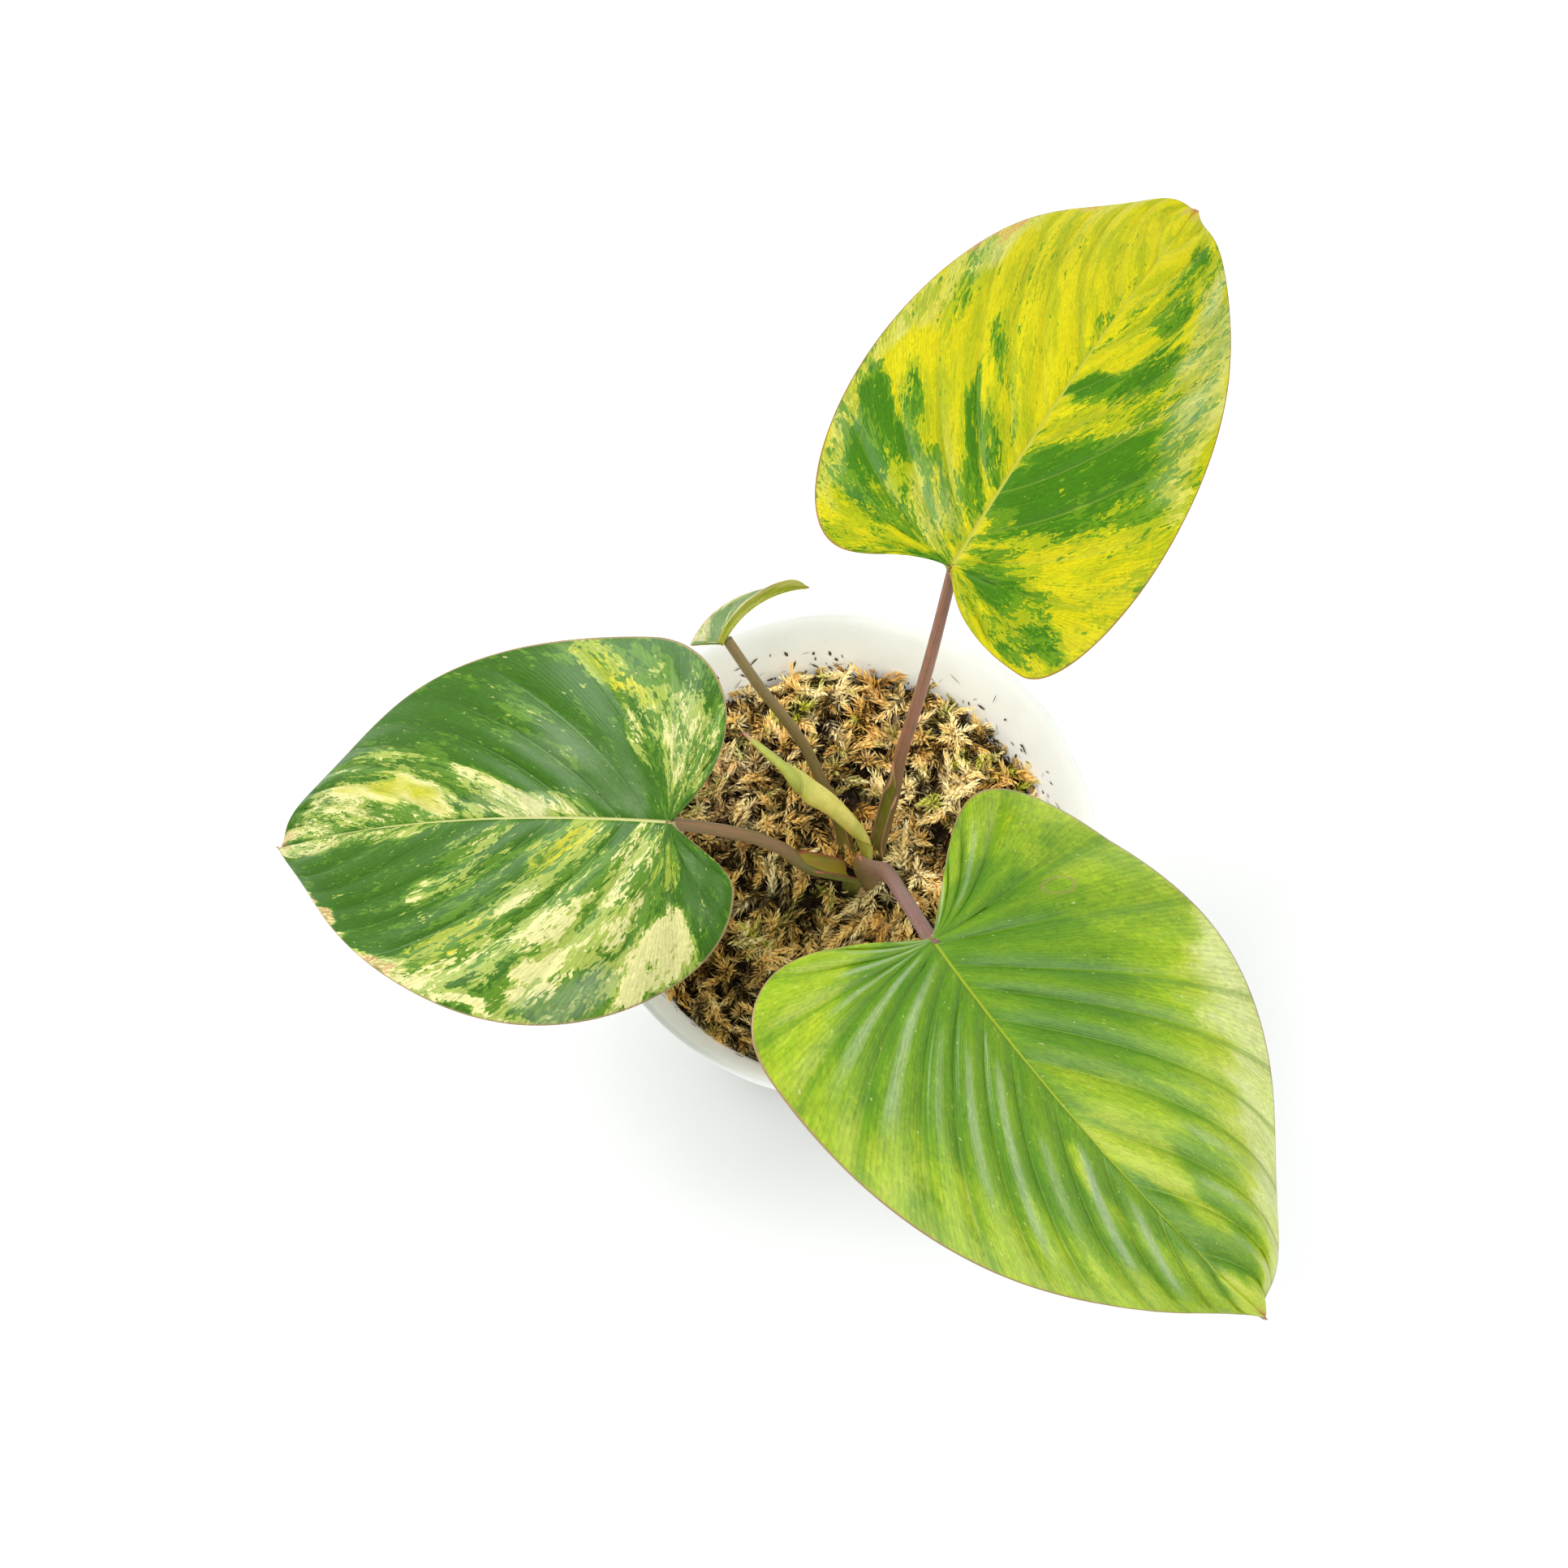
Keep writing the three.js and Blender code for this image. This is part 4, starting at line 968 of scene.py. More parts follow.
SPEAR_PATH = [(6, -1, 76.3), (7.2, -1, 89), (6.6, -0.9, 98), (4.6, 0.9, 105), (0.6, 3.2, 111.5),
              (-3.5, 5.3, 116), (-8, 6.5, 121), (-15.5, 8.5, 134), (-24, 10, 150)]
SPEAR_RADIUS = [1.5, 1.5, 1.55, 1.65, 2.0, 2.3, 2.7, 3.25, 2.9, 1.35, 1.15, 0.85, 0.3]
SPEAR_LAP = 0.26
SPEAR_GRID = (190, 56)


def make_spear(material):
    """The new leaf: a sheet rolled once round itself, with its free edge on the outside."""
    count, sides = SPEAR_GRID
    share, points, along = curve_through(SPEAR_PATH, count)
    x, y = carried(along, (1, 0, 0))
    radius = np.interp(share, np.linspace(0, 1, len(SPEAR_RADIUS)), SPEAR_RADIUS)
    radius = np.convolve(np.pad(radius, 4, mode="edge"), np.ones(9) / 9, mode="valid")
    lap = np.arange(sides) / (sides - 1)
    r = radius[:, None] * (1 - SPEAR_LAP * lap[None])
    lap_angle = -2.25 + 2.9 * smooth(0.6, 0.76, share) + 2.6 * smooth(0.4, 0.24, share)
    angle = lap_angle[:, None] + 2 * np.pi * lap[None] * 0.985
    rings = rings_on(points, x, y, r * np.cos(angle), r * np.sin(angle))
    settle(closed_tube("new_leaf", rings, material, lap, share), "rolled_leaf", "rolled_leaf")


def spear_finish():
    f = Finish("new_leaf")
    grain = f.uv()
    lap, along, _ = f.parts(grain)
    streak = f.noise(grain, (40, 5, 1))
    mottle = f.noise(f.place(), 500)
    cloud = f.noise(f.place(), 160)
    f.colour = f.mix(f.step(0.3 * streak + cloud, 0.5, 0.85), (244, 228, 116), (206, 206, 84))
    f.lay(f.step(along + 0.2 * (cloud - 0.5), 0.3, 0.12) * 0.6, (186, 196, 70))
    f.lay(f.step(along, 0.58, 0.72) * 0.6, (178, 196, 70))
    f.lay(f.step(lap, 0.6, 0.95) * 0.6, (170, 182, 66))
    f.lay((1 - f.step(lap, 0.0, 0.03)) * 0.9, (206, 140, 96))
    f.lay(f.step(along, 0.93, 1.0), (204, 130, 110))
    f.shade(1 + 0.35 * (mottle - 0.5) + 0.25 * (cloud - 0.5))
    return f.close({"Roughness": 0.42 + 0.1 * (cloud - 0.5), "Coat Weight": 0.08,
                    "Normal": f.bump(streak * 0.6 + mottle * 0.4, 0.00015, 0.7)})


# Pot

WALL = 1.2
FLOOR = 1.6
POT_SIDES = 192
DRAINS, DRAIN_RING, DRAIN_RADIUS = 6, 28, 3.5
POT_OUTSIDE = [(40.5, 0), (42.2, 1.4), (50, 40), (53.2, 62), (56.6, 78), (60.2, 90), (63.4, 97.4),
               (65, 98.6), (65.4, 99.5)]


def wall_inside(z):
    """The radius of the pot's inside at a height."""
    radii, heights = zip(*POT_OUTSIDE)
    return np.interp(z, heights, radii) - WALL


def make_pot(material):
    """The pot's wall turned round its axis, a little out of round at the top."""
    profile = [(0, 0), (20, 0), (39.4, 0), (40.3, 0.25), (40.9, 0.8), (42.2, 1.6), (46, 20), (50, 40),
               (51.5, 51), (53.2, 62), (56.6, 78), (58.4, 84.5), (60.2, 90), (62.2, 95), (63.2, 97.2),
               (64.2, 98.3), (65, 98.75), (65.35, 99.2), (65.35, 99.6), (65.1, 99.9), (64.7, 100),
               (64.2, 99.9), (63.6, 99.3), (62.8, 98.2)]
    profile += [(wall_inside(z), z) for z in (96.6, 90, 84, 78, 70, 62, 50, 40, 24, 6)]
    profile += [(wall_inside(6) - 1.6, FLOOR + 0.8), (wall_inside(6) - 3, FLOOR), (0, FLOOR)]
    profile = np.array(profile)
    turn = around(POT_SIDES)
    r, z = profile[:, :1], profile[:, 1:]
    sway = 0.35 * np.sin(3 * turn + 0.7) + 0.2 * np.sin(7 * turn + 2) + 0.12 * np.sin(13 * turn)
    radius = np.maximum(r + np.where(r > 1, smooth(60, 100, z) * sway[None], 0), 0)
    inside = np.arange(len(profile)) > np.argmax(z[:, 0]) + 1
    pot = make_piece("pot_shell", ring(radius, z, turn).reshape(-1, 3),
                     grid_faces(len(profile), POT_SIDES, wrap=True), material,
                     fields={"inner": np.repeat(inside.astype(float), POT_SIDES)})
    cut_drains(pot)
    settle(pot, "pot", "pot")


def cut_drains(pot):
    """Cuts the drain holes through the pot's floor."""
    bm = bmesh.new()
    for i in range(DRAINS):
        angle = 2 * math.pi * (i + 0.5) / DRAINS
        place = (DRAIN_RING * MM * math.cos(angle), DRAIN_RING * MM * math.sin(angle), 0.8 * MM)
        bmesh.ops.create_cone(bm, cap_ends=True, segments=24, radius1=DRAIN_RADIUS * MM,
                              radius2=DRAIN_RADIUS * MM, depth=4 * MM, matrix=Matrix.Translation(place))
    mesh = bpy.data.meshes.new("drains")
    bm.to_mesh(mesh)
    bm.free()
    drains = add_object("drains", mesh)
    cut = pot.modifiers.new("cut", "BOOLEAN")
    cut.object = drains
    cut.operation = "DIFFERENCE"
    bake_modifiers(pot)
    bpy.data.objects.remove(drains)


def bake_modifiers(piece):
    """The object's modifiers become plain mesh and are removed."""
    graph = bpy.context.evaluated_depsgraph_get()
    mesh = bpy.data.meshes.new_from_object(piece.evaluated_get(graph), depsgraph=graph)
    piece.modifiers.clear()
    piece.data = mesh


def pot_finish():
    f = Finish("milky_plastic")
    place = f.place()
    _, _, z = f.parts(place)
    cloud = f.noise(place, 28, 4)
    stain = f.noise(place, 90, 4)
    speck = f.noise(place, 900, 2)
    inner = f.attribute("inner")
    outside = f.mix(f.step(cloud, 0.3, 0.7), (226, 227, 225), (210, 212, 209))
    # Painted shade: below the moss line the milky wall is darker and browner, for the moss behind it that
    # holds back the light shining through.
    filled = 1 - f.step(z + 0.012 * (stain - 0.5), 0.07, 0.082)
    outside = f.mix(filled * 0.45, outside, (196, 190, 172))
    inside = f.mix(f.step(cloud, 0.35, 0.75), (238, 238, 236), (222, 224, 220))
    f.colour = f.mix(inner, outside, inside)
    f.lay(f.step(stain, 0.58, 0.8) * 0.3, (206, 202, 184))
    f.lay(f.step(speck, 0.7, 0.78) * 0.5 * inner, (120, 112, 92))
    # Painted light: the milky plastic glows, dimly outside and brightly inside and at the brim, for light
    # shining through its thin wall.
    brim = f.step(z, 0.094, 0.099)
    glow = f.mix(inner.most(0.7 * brim), (84, 84, 80), (196, 197, 192))
    return f.close({"Roughness": 0.38 + 0.2 * (cloud - 0.5), "Emission Color": glow,
                    "Emission Strength": 0.4, "Normal": f.bump(stain, 0.0004, 0.3)})


# Moss

MOSS_EDGE_Z = 79
MOSS_RADIUS = 56
MOSS_DOME = 1.6
PIT_RADIUS = 12  # of the hollow at the crown
BED_SIDES, BED_RINGS = 160, 70
SPIRAL = 2.4  # from one leaflet to the next, in radians
SPRIG_SEED, SHOOT_SEED = 31, 11
MOSS_DENSITY, CRUMB_DENSITY = 1.2e6, 2.6e5  # shapes to a square metre at most
MOSS_SPOTS = {
    "lime": ((-9.7, 44.8, 3.6), (-5.1, 52, 3), (-16.2, 42, 2.2), (4.5, 40.8, 1.6), (-20.4, 36.8, 2.4),
             (39.6, 29.1, 2.6), (45.2, 27.3, 3), (32.9, 30.3, 2.6), (25.3, 17.1, 3.4), (-5, -7.3, 2.4)),
    "straw": ((36.6, 37.3, 7.6), (15.6, 6.8, 6), (3.4, -17.3, 6), (25.2, 15.3, 4.4), (-14.5, 55.1, 5),
              (10.9, -7.3, 5), (-22.9, -19.5, 4), (16, 30, 5)),
    "grey": ((-31.8, 24.5, 10), (-28.4, 13, 8)),
    "brown": ((-28.3, -2.8, 9), (-7.1, -8.4, 7), (6.2, 40.8, 5.2), (33.7, 13, 5.2),
              (1.8, 31.5, 5), (-28.1, -29.3, 8)),
    "bare": ((-6, -9, 5.5), (-17, -4, 4), (-2, 33, 2.5), (2, 20, 3), (-12, 31, 2.5), (20, 48, 2)),
}
MOSS_RAMP = ((62, 36, 12), (116, 76, 26), (178, 128, 54), (230, 184, 94), (252, 218, 138),
             (255, 238, 186))
SPRIGS = (
    (31.3, 36.4, 4.5, 89, 12, 5.2, 0.72, 0), (31.3, 36.4, 4.5, 25, 10, 5.6, 0.7, 0),
    (31.3, 36.4, 4.5, -37, 12, 5, 0.76, 0), (31.3, 36.4, 4.5, -141, 8, 4.8, 0.7, 0),
    (31.3, 36.4, 4.5, 154, 12, 4.8, 0.66, 0), (31.3, 36.4, 4.5, -78, 10, 5.5, 0.74, 0),
    (29.1, 27.5, 4, 4, 8, 6, 0.55, 1), (38.7, 31, 4, -107, 10, 5, 0.6, 1),
    (48, 26.4, 3.5, -164, 10, 8.1, 0.62, 1), (46.5, 20.6, 3.5, 32, 4, 6.5, 0.5, 1),
    (36.3, 21.5, 5, -145, 6, 9.5, 0.75, 0), (30.3, 18.1, 5, -129, 4, 8.7, 0.8, 0),
    (27.1, 18.7, 5, -154, 4, 7.7, 0.85, 1), (28.2, 13.8, 4.5, -157, 6, 7.5, 0.8, 0),
    (20.4, 31, 4, -79, 6, 6.8, 0.72, 0), (16.5, -1.4, 5, 86, 8, 12, 0.84, 0),
    (15.8, 6.6, 5, -104, 2, 7.8, 0.9, 0), (20.7, -3.4, 5, -54, 8, 6.3, 0.98, 0),
    (20.7, -3.4, 5, 101, 14, 4.2, 0.98, 0), (20.7, -3.4, 5, 0, 10, 4.4, 0.95, 0),
    (20.7, -3.4, 5, -128, 10, 4.4, 0.98, 0), (11.6, -6.7, 8, -142, -4, 8, 0.92, 0),
    (7.5, -10, 7.5, -149, -6, 9.5, 0.88, 0), (8.8, -10.4, 7, -104, -8, 12.2, 0.86, 0),
    (3.3, -17.7, 4.5, -148, 2, 12, 0.6, 0), (-22.2, -20.5, 4, -147, 10, 5.7, 0.72, 1),
    (-22.2, -20.5, 4, -90, 8, 5.4, 0.8, 1), (-22.2, -20.5, 4, -13, 10, 5.8, 0.75, 1),
    (-22.2, -20.5, 4, 86, 10, 5.3, 0.7, 1), (-22.2, -20.5, 4, 144, 12, 5.2, 0.66, 1),
    (-12.1, 52.1, 3, -148, 10, 6.7, 0.82, 0), (-11.2, 51.4, 3.5, -36, 6, 9.3, 0.86, 0),
    (-13.4, 53.8, 3, -8, 12, 6.6, 0.84, 0), (-10.4, 43.6, 4, 31, 8, 5, 0.5, 1),
    (-10.4, 42.7, 4, -119, 8, 4.6, 0.45, 1), (-0.4, 48.6, 3.5, 13, 8, 8.5, 0.62, 0),
    (-14.7, 33.3, 4, 101, 10, 7.1, 0.8, 0), (-12.1, 21.8, 4.5, -87, 4, 8, 0.78, 0),
    (-14.5, 11.5, 4.5, 3, 6, 8, 0.55, 0), (-23.1, 19.5, 4.5, -128, 4, 9, 0.7, 0),
    (-26.3, 22.9, 4.5, 17, 6, 8, 0.66, 0), (18.3, -21.8, 4, 93, 6, 6.6, 0.76, 0),
    (9.3, -19.4, 4, 24, 6, 5.5, 0.4, 0), (4.4, -2.4, 4, 112, 25, 7, 0.42, 0),
    (1.4, 0.6, 3, 25, 20, 6.5, 0.5, 0), (2.2, 4.2, 3, -72, 15, 7, 0.46, 0),
    (3.4, -0.6, 3, 80, 35, 6, 0.3, 1),
)
CHIP_GRID = (34, 28)
CHIPS = {
    "a": {"at": (16, 40.5), "size": (12, 2.6, 1.8), "turn": 93, "rise": 4,
          "tones": ((214, 190, 150), (176, 146, 104))},
    "b": {"at": (-20.9, -12.2), "size": (5.5, 2.8, 1.4), "turn": 12, "rise": 0,
          "tones": ((140, 94, 56), (84, 54, 32))},
    "c": {"at": (-12, 50.5), "size": (5, 4.4, 1.2), "turn": 104, "rise": 28,
          "tones": ((160, 120, 84), (104, 72, 46))},
}


def moss_height(x, y):
    """The moss's height with its dome and large lumps."""
    r = np.hypot(x, y) / MOSS_RADIUS
    lumps = np.sin(x * 0.13 + 1.1) * np.cos(y * 0.11 - 0.4) + 0.6 * np.sin((x + y) * 0.21)
    return MOSS_EDGE_Z + MOSS_DOME * (1 - r * r) + 0.8 * lumps * (1 - r**3)


def moss_top(x, y):
    """The bed's surface with its small lumps and the pit at the crown."""
    z = moss_height(x, y)
    clump = np.sin(x * 0.34 + 1.3 * np.sin(y * 0.21)) * np.sin(y * 0.37 + 1.2 * np.sin(x * 0.25) + 0.8)
    tiny = np.sin(x * 1.3 + y * 0.6) * np.sin(y * 1.5 - x * 0.8)
    z = z + 1.3 * clump + 0.4 * tiny - 0.4
    far = np.hypot(x - CROWN[0], y - CROWN[1])
    pit = 1 - smooth(PIT_RADIUS - 7, PIT_RADIUS + 1, far)
    return z - pit * 3.2


def make_bed(material):
    """The bed of moss, and a copy with its cover that the shoots are strewn on."""
    turn = around(BED_SIDES)
    edge = wall_inside(MOSS_EDGE_Z - 1) - 0.15
    low = [(0.0, FLOOR + 0.3), (wall_inside(6) - 3.3, FLOOR + 0.3)]
    low += [(wall_inside(z) - 0.3, z) for z in (6.5, 24, 40, 62, 72)] + [(edge, MOSS_EDGE_Z - 2)]
    rows = [ring(r, z, turn) for r, z in low]
    for i in range(BED_RINGS + 1):
        r = edge * (1 - i / BED_RINGS)
        top = moss_top(r * np.cos(turn), r * np.sin(turn))
        rows.append(ring(r, top - 1.2 * smooth(0.97, 1, r / edge), turn))
    points = np.concatenate(rows)
    faces = grid_faces(len(rows), BED_SIDES, wrap=True)
    settle(make_piece("moss_bed", points, faces, material), "moss", "moss")
    host = make_piece("moss_host", points, faces, material)
    places = corner_places(host)
    cover = (places[:, 2] > MOSS_EDGE_Z - 3.5) * smooth(5.5, 9, np.hypot(*(places[:, :2] - CROWN[:2]).T))
    cover = cover * (1 - 0.75 * spotted(places, MOSS_SPOTS["bare"]))
    for chip in CHIPS.values():
        cover = cover * smooth(1.5, 3.5, np.hypot(*(places[:, :2] - np.array(chip["at"])).T))
    set_field(host, "cover", cover)
    return host


def corner_places(piece):
    """The piece's points in millimetres."""
    places = np.zeros(len(piece.data.vertices) * 3)
    piece.data.vertices.foreach_get("co", places)
    return places.reshape(-1, 3) / MM


def set_field(piece, name, values):
    data = piece.data.attributes.new(name, "FLOAT", "POINT")
    data.data.foreach_set("value", values.astype(np.float32))


def spotted(places, spots):
    """1 on each spot, given by its place and radius, and 0 away from them."""
    field = np.zeros(len(places))
    for x, y, r in spots:
        field = np.maximum(field, smooth(1.2 * r, 0.6 * r, np.hypot(places[:, 0] - x, places[:, 1] - y)))
    return field


def leaflet(base, way, side, length, width, fold):
    """The four corners of one pointed leaflet, keeled along its middle."""
    lift = np.cross(side, way) * fold
    middle = base + way * length * 0.42
    return [base, middle + side * width / 2 + lift, base + way * length, middle - side * width / 2 + lift]


def leaflet_faces(count):
    """The faces of leaflets whose corners follow each other."""
    wedge = np.array([(0, 2, 1), (0, 3, 2), (0, 1, 3), (1, 2, 3)])
    return (wedge + 4 * np.arange(count)[:, None, None]).reshape(-1, 3)


def leaflet_tips(shares, part):
    """How near each corner is to a tip: a part for its leaflet's share of the way up the
    shoot, and the rest for its place on the leaflet."""
    return (part * np.array(shares)[:, None] + (1 - part) * np.array([0, 0.5, 1, 0.5])).ravel()


def tuft_shape(name, leaflets, shares):
    """One small shoot from its leaflets and each one's share of the way up."""
    mesh = new_mesh(name, np.reshape(leaflets, (-1, 3)), leaflet_faces(len(leaflets)))
    shoot = bpy.data.objects.new(name, mesh)
    set_field(shoot, "tip", leaflet_tips(shares, 0.35))
    return shoot


def needle(base, turn, tilt, size, reach, width, flat=1.0):
    """A leaflet that leans out by the tilt, toward the turn."""
    out = np.array([flat * math.cos(turn), math.sin(turn), 0])
    side = np.array([-math.sin(turn), math.cos(turn), 0])
    way = out * math.sin(tilt) + UP * math.cos(tilt)
    return leaflet(base, way, side, reach * size, width * size, 0.25 * width)


def twig_leaflets(rolls, count, length, reach, width):
    """A feathery twig: needles in a spiral that point ever more forward, as on a fir. Reach
    and width are a needle's length and width."""
    leaflets = [leaflet(np.zeros(3), UP, np.array([0, 1.0, 0]), 0.9 * length, 0.5, 0.2)]
    shares = [0.0]
    bend, sway = rolls.uniform(-0.3, 0.3), rolls.uniform(-0.3, 0.3)
    for i in range(count):
        share = i / (count - 1)
        turn = SPIRAL * i + rolls.uniform(-0.35, 0.35)
        tilt = 0.92 - 0.65 * share**1.5 + rolls.uniform(-0.15, 0.15)
        base = np.array([bend * length * share**2, sway * length * share**2, 0.92 * length * share])
        size = (0.7 + 0.45 * math.sin(math.pi * min(1, 0.2 + share))) * rolls.uniform(0.85, 1.15)
        leaflets.append(needle(base, turn, tilt, size, reach, width, flat=0.65))
        shares.append(share)
    return leaflets, shares


def make_sprigs(material):
    """The largest sprigs lie where the eye goes first. Each has its foot, the way it points,
    its length and its tone, and 1 if it is lime or 0 if it is straw."""
    rolls = np.random.default_rng(SPRIG_SEED)
    points, fields = [], {}
    for x, y, lift, heading, rise, length, tone, lime in SPRIGS:
        leaflets, shares = twig_leaflets(rolls, int(4.2 * length), length, reach=2.3, width=0.78)
        turn, tilt = math.radians(heading), math.radians(rise)
        way = np.array([math.cos(tilt) * math.cos(turn), math.cos(tilt) * math.sin(turn), math.sin(tilt)])
        side = np.array([math.sin(turn), -math.cos(turn), 0])
        own = np.reshape(leaflets, (-1, 3))
        foot = np.array([x, y, moss_height(x, y) + lift])
        points.append(foot + own[:, :1] * np.cross(way, -side) + own[:, 1:2] * side + own[:, 2:] * way)
        values = {"tone": tone - 0.08, "lime": lime, "straw": 0.4 * (1 - lime), "above": 0.006}
        for key, value in {"tip": leaflet_tips(shares, 0.3), **values}.items():
            fields.setdefault(key, []).append(np.broadcast_to(value, len(own)))
    points = np.concatenate(points)
    piece = make_piece("moss_long_sprigs", points, leaflet_faces(len(points) // 4), material,
                       fields={key: np.concatenate(value) for key, value in fields.items()})
    piece.data.shade_flat()
    settle(piece, "moss")


def star_shape(name, rolls, count, reach, width):
    """A rosette as seen at a twig's end: long needles lie outward and short ones stand."""
    leaflets = []
    for i in range(count):
        share = i / count
        turn = SPIRAL * i + rolls.uniform(-0.2, 0.2)
        tilt = 1.45 - 1.2 * share + rolls.uniform(-0.12, 0.12)
        size = (1.1 - 0.5 * share) * rolls.uniform(0.85, 1.15)
        leaflets.append(needle(UP * 0.35 * reach * share, turn, tilt, size, reach, width))
    return tuft_shape(name, leaflets, np.linspace(0.2, 1, count))


STREW_KINDS = {"Surface": "Geometry", "Shapes": "Collection", "Material": "Material", "Seed": "Int"}
# The numbers of one layer, in order. Spacing and lift are in millimetres, leans in radians.
STREW_ROW = ("Spacing", "Smallest", "Largest", "Least lean", "Most lean", "Lift", "Dullest", "Brightest",
             "Seed")
ROLL = 0.25  # how far a shoot rolls to either side, in radians
HOLD_Z = 78  # the height that the slope of the pot's wall is taken from


def scatter_tree(name):
    """Geometry Nodes that strew shapes over a surface where its cover says so, hold them
    within the pot's wall and note how far above the surface each point is."""
    tree = bpy.data.node_groups.new(name, "GeometryNodeTree")
    names = {}
    for label in ("Surface", "Shapes", "Material", "Density", "Follow", *STREW_ROW):
        kind = "NodeSocket" + STREW_KINDS.get(label, "Float")
        names[label] = tree.interface.new_socket(name=label, in_out="INPUT", socket_type=kind).identifier
    tree.interface.new_socket(name="Geometry", in_out="OUTPUT", socket_type="NodeSocketGeometry")
    n = Nodes(tree)
    given = n.node("NodeGroupInput")

    def random(low, high, seed, kind="FLOAT"):
        at, output = (0, 0) if kind == "FLOAT_VECTOR" else (2, 1)
        inputs = {at: low, at + 1: high, "Seed": seed}
        return n.node("FunctionNodeRandomValue", {"data_type": kind}, inputs)[output]

    def stored(geometry, field, value, domain):
        settings = {"data_type": "FLOAT", "domain": domain}
        inputs = {"Geometry": geometry, "Name": field, "Value": value}
        return n.node("GeometryNodeStoreNamedAttribute", settings, inputs)[0]

    cover = n.node("GeometryNodeInputNamedAttribute", {"data_type": "FLOAT"}, {"Name": "cover"})[0]
    spread = n.node("GeometryNodeDistributePointsOnFaces", {"distribute_method": "POISSON"}, {
        "Mesh": given["Surface"], "Distance Min": given["Spacing"], "Density Max": given["Density"],
        "Density Factor": cover, "Seed": given["Seed"]})
    turn = random(n.joined(-ROLL, given["Least lean"]), n.joined(ROLL, given["Most lean"], 2 * math.pi),
                  given["Seed"], "FLOAT_VECTOR")
    own = n.node("FunctionNodeEulerToRotation", None, {0: turn})[0]
    straight = n.node("FunctionNodeEulerToRotation", None, {0: (0.0, 0.0, 0.0)})[0]
    follows = n.node("FunctionNodeCompare", {"operation": "GREATER_THAN"},
                     {0: given["Follow"], 1: 0.5})[0]
    laid = n.node("GeometryNodeSwitch", {"input_type": "ROTATION"},
                  {0: follows, 1: straight, 2: spread["Rotation"]})[0]
    whole = n.node("FunctionNodeRotateRotation", {"rotation_space": "LOCAL"}, {0: laid, 1: own})[0]
    shapes = n.node("GeometryNodeCollectionInfo", None,
                    {"Collection": given["Shapes"], "Separate Children": True, "Reset Children": True})[0]
    raised = n.node("GeometryNodeSetPosition", None,
                    {"Geometry": spread["Points"], "Offset": n.joined(0.0, 0.0, given["Lift"])})[0]
    placed = n.node("GeometryNodeInstanceOnPoints", None, {
        "Points": raised, "Instance": shapes, "Pick Instance": True, "Rotation": whole,
        "Scale": random(given["Smallest"], given["Largest"], 5)})[0]
    toned = stored(placed, "tone", random(given["Dullest"], given["Brightest"], 9), "INSTANCE")
    real = n.node("GeometryNodeRealizeInstances", None, {0: toned})[0]
    x, y, z = n.parts(n.node("GeometryNodeInputPosition")[0])
    wall = (z - HOLD_Z * MM) * 0.3 + (wall_inside(HOLD_Z) - 0.12) * MM
    inward = (wall / (x * x + y * y) ** 0.5).least(1)
    kept = n.joined(x * inward, y * inward, z)
    held = n.node("GeometryNodeSetPosition", None, {"Geometry": real, "Position": kept})[0]
    above = n.node("GeometryNodeProximity", {"target_element": "FACES"},
                   {0: given["Surface"]})["Distance"]
    done = n.node("GeometryNodeSetMaterial", None,
                  {0: stored(held, "above", above, "POINT"), "Material": given["Material"]})[0]
    n.node("NodeGroupOutput", None, {0: done})
    return tree, names


def scatter(name, host, strewing, shapes, material, density, follow, row):
    """Strews shapes over a copy of the host and keeps only them, as plain mesh."""
    group = bpy.data.collections.new(name)
    for shape in shapes:
        group.objects.link(shape)
    tree, names = strewing
    source = add_object(name, host.data)
    strew = source.modifiers.new("strew", "NODES")
    strew.node_group = tree
    values = {"Shapes": group, "Material": material, "Density": density, "Follow": follow,
              **dict(zip(STREW_ROW, row))}
    values["Spacing"] *= MM
    values["Lift"] *= MM
    for label, value in values.items():
        strew[names[label]] = value
    bake_modifiers(source)
    source.data.name = name
    return source


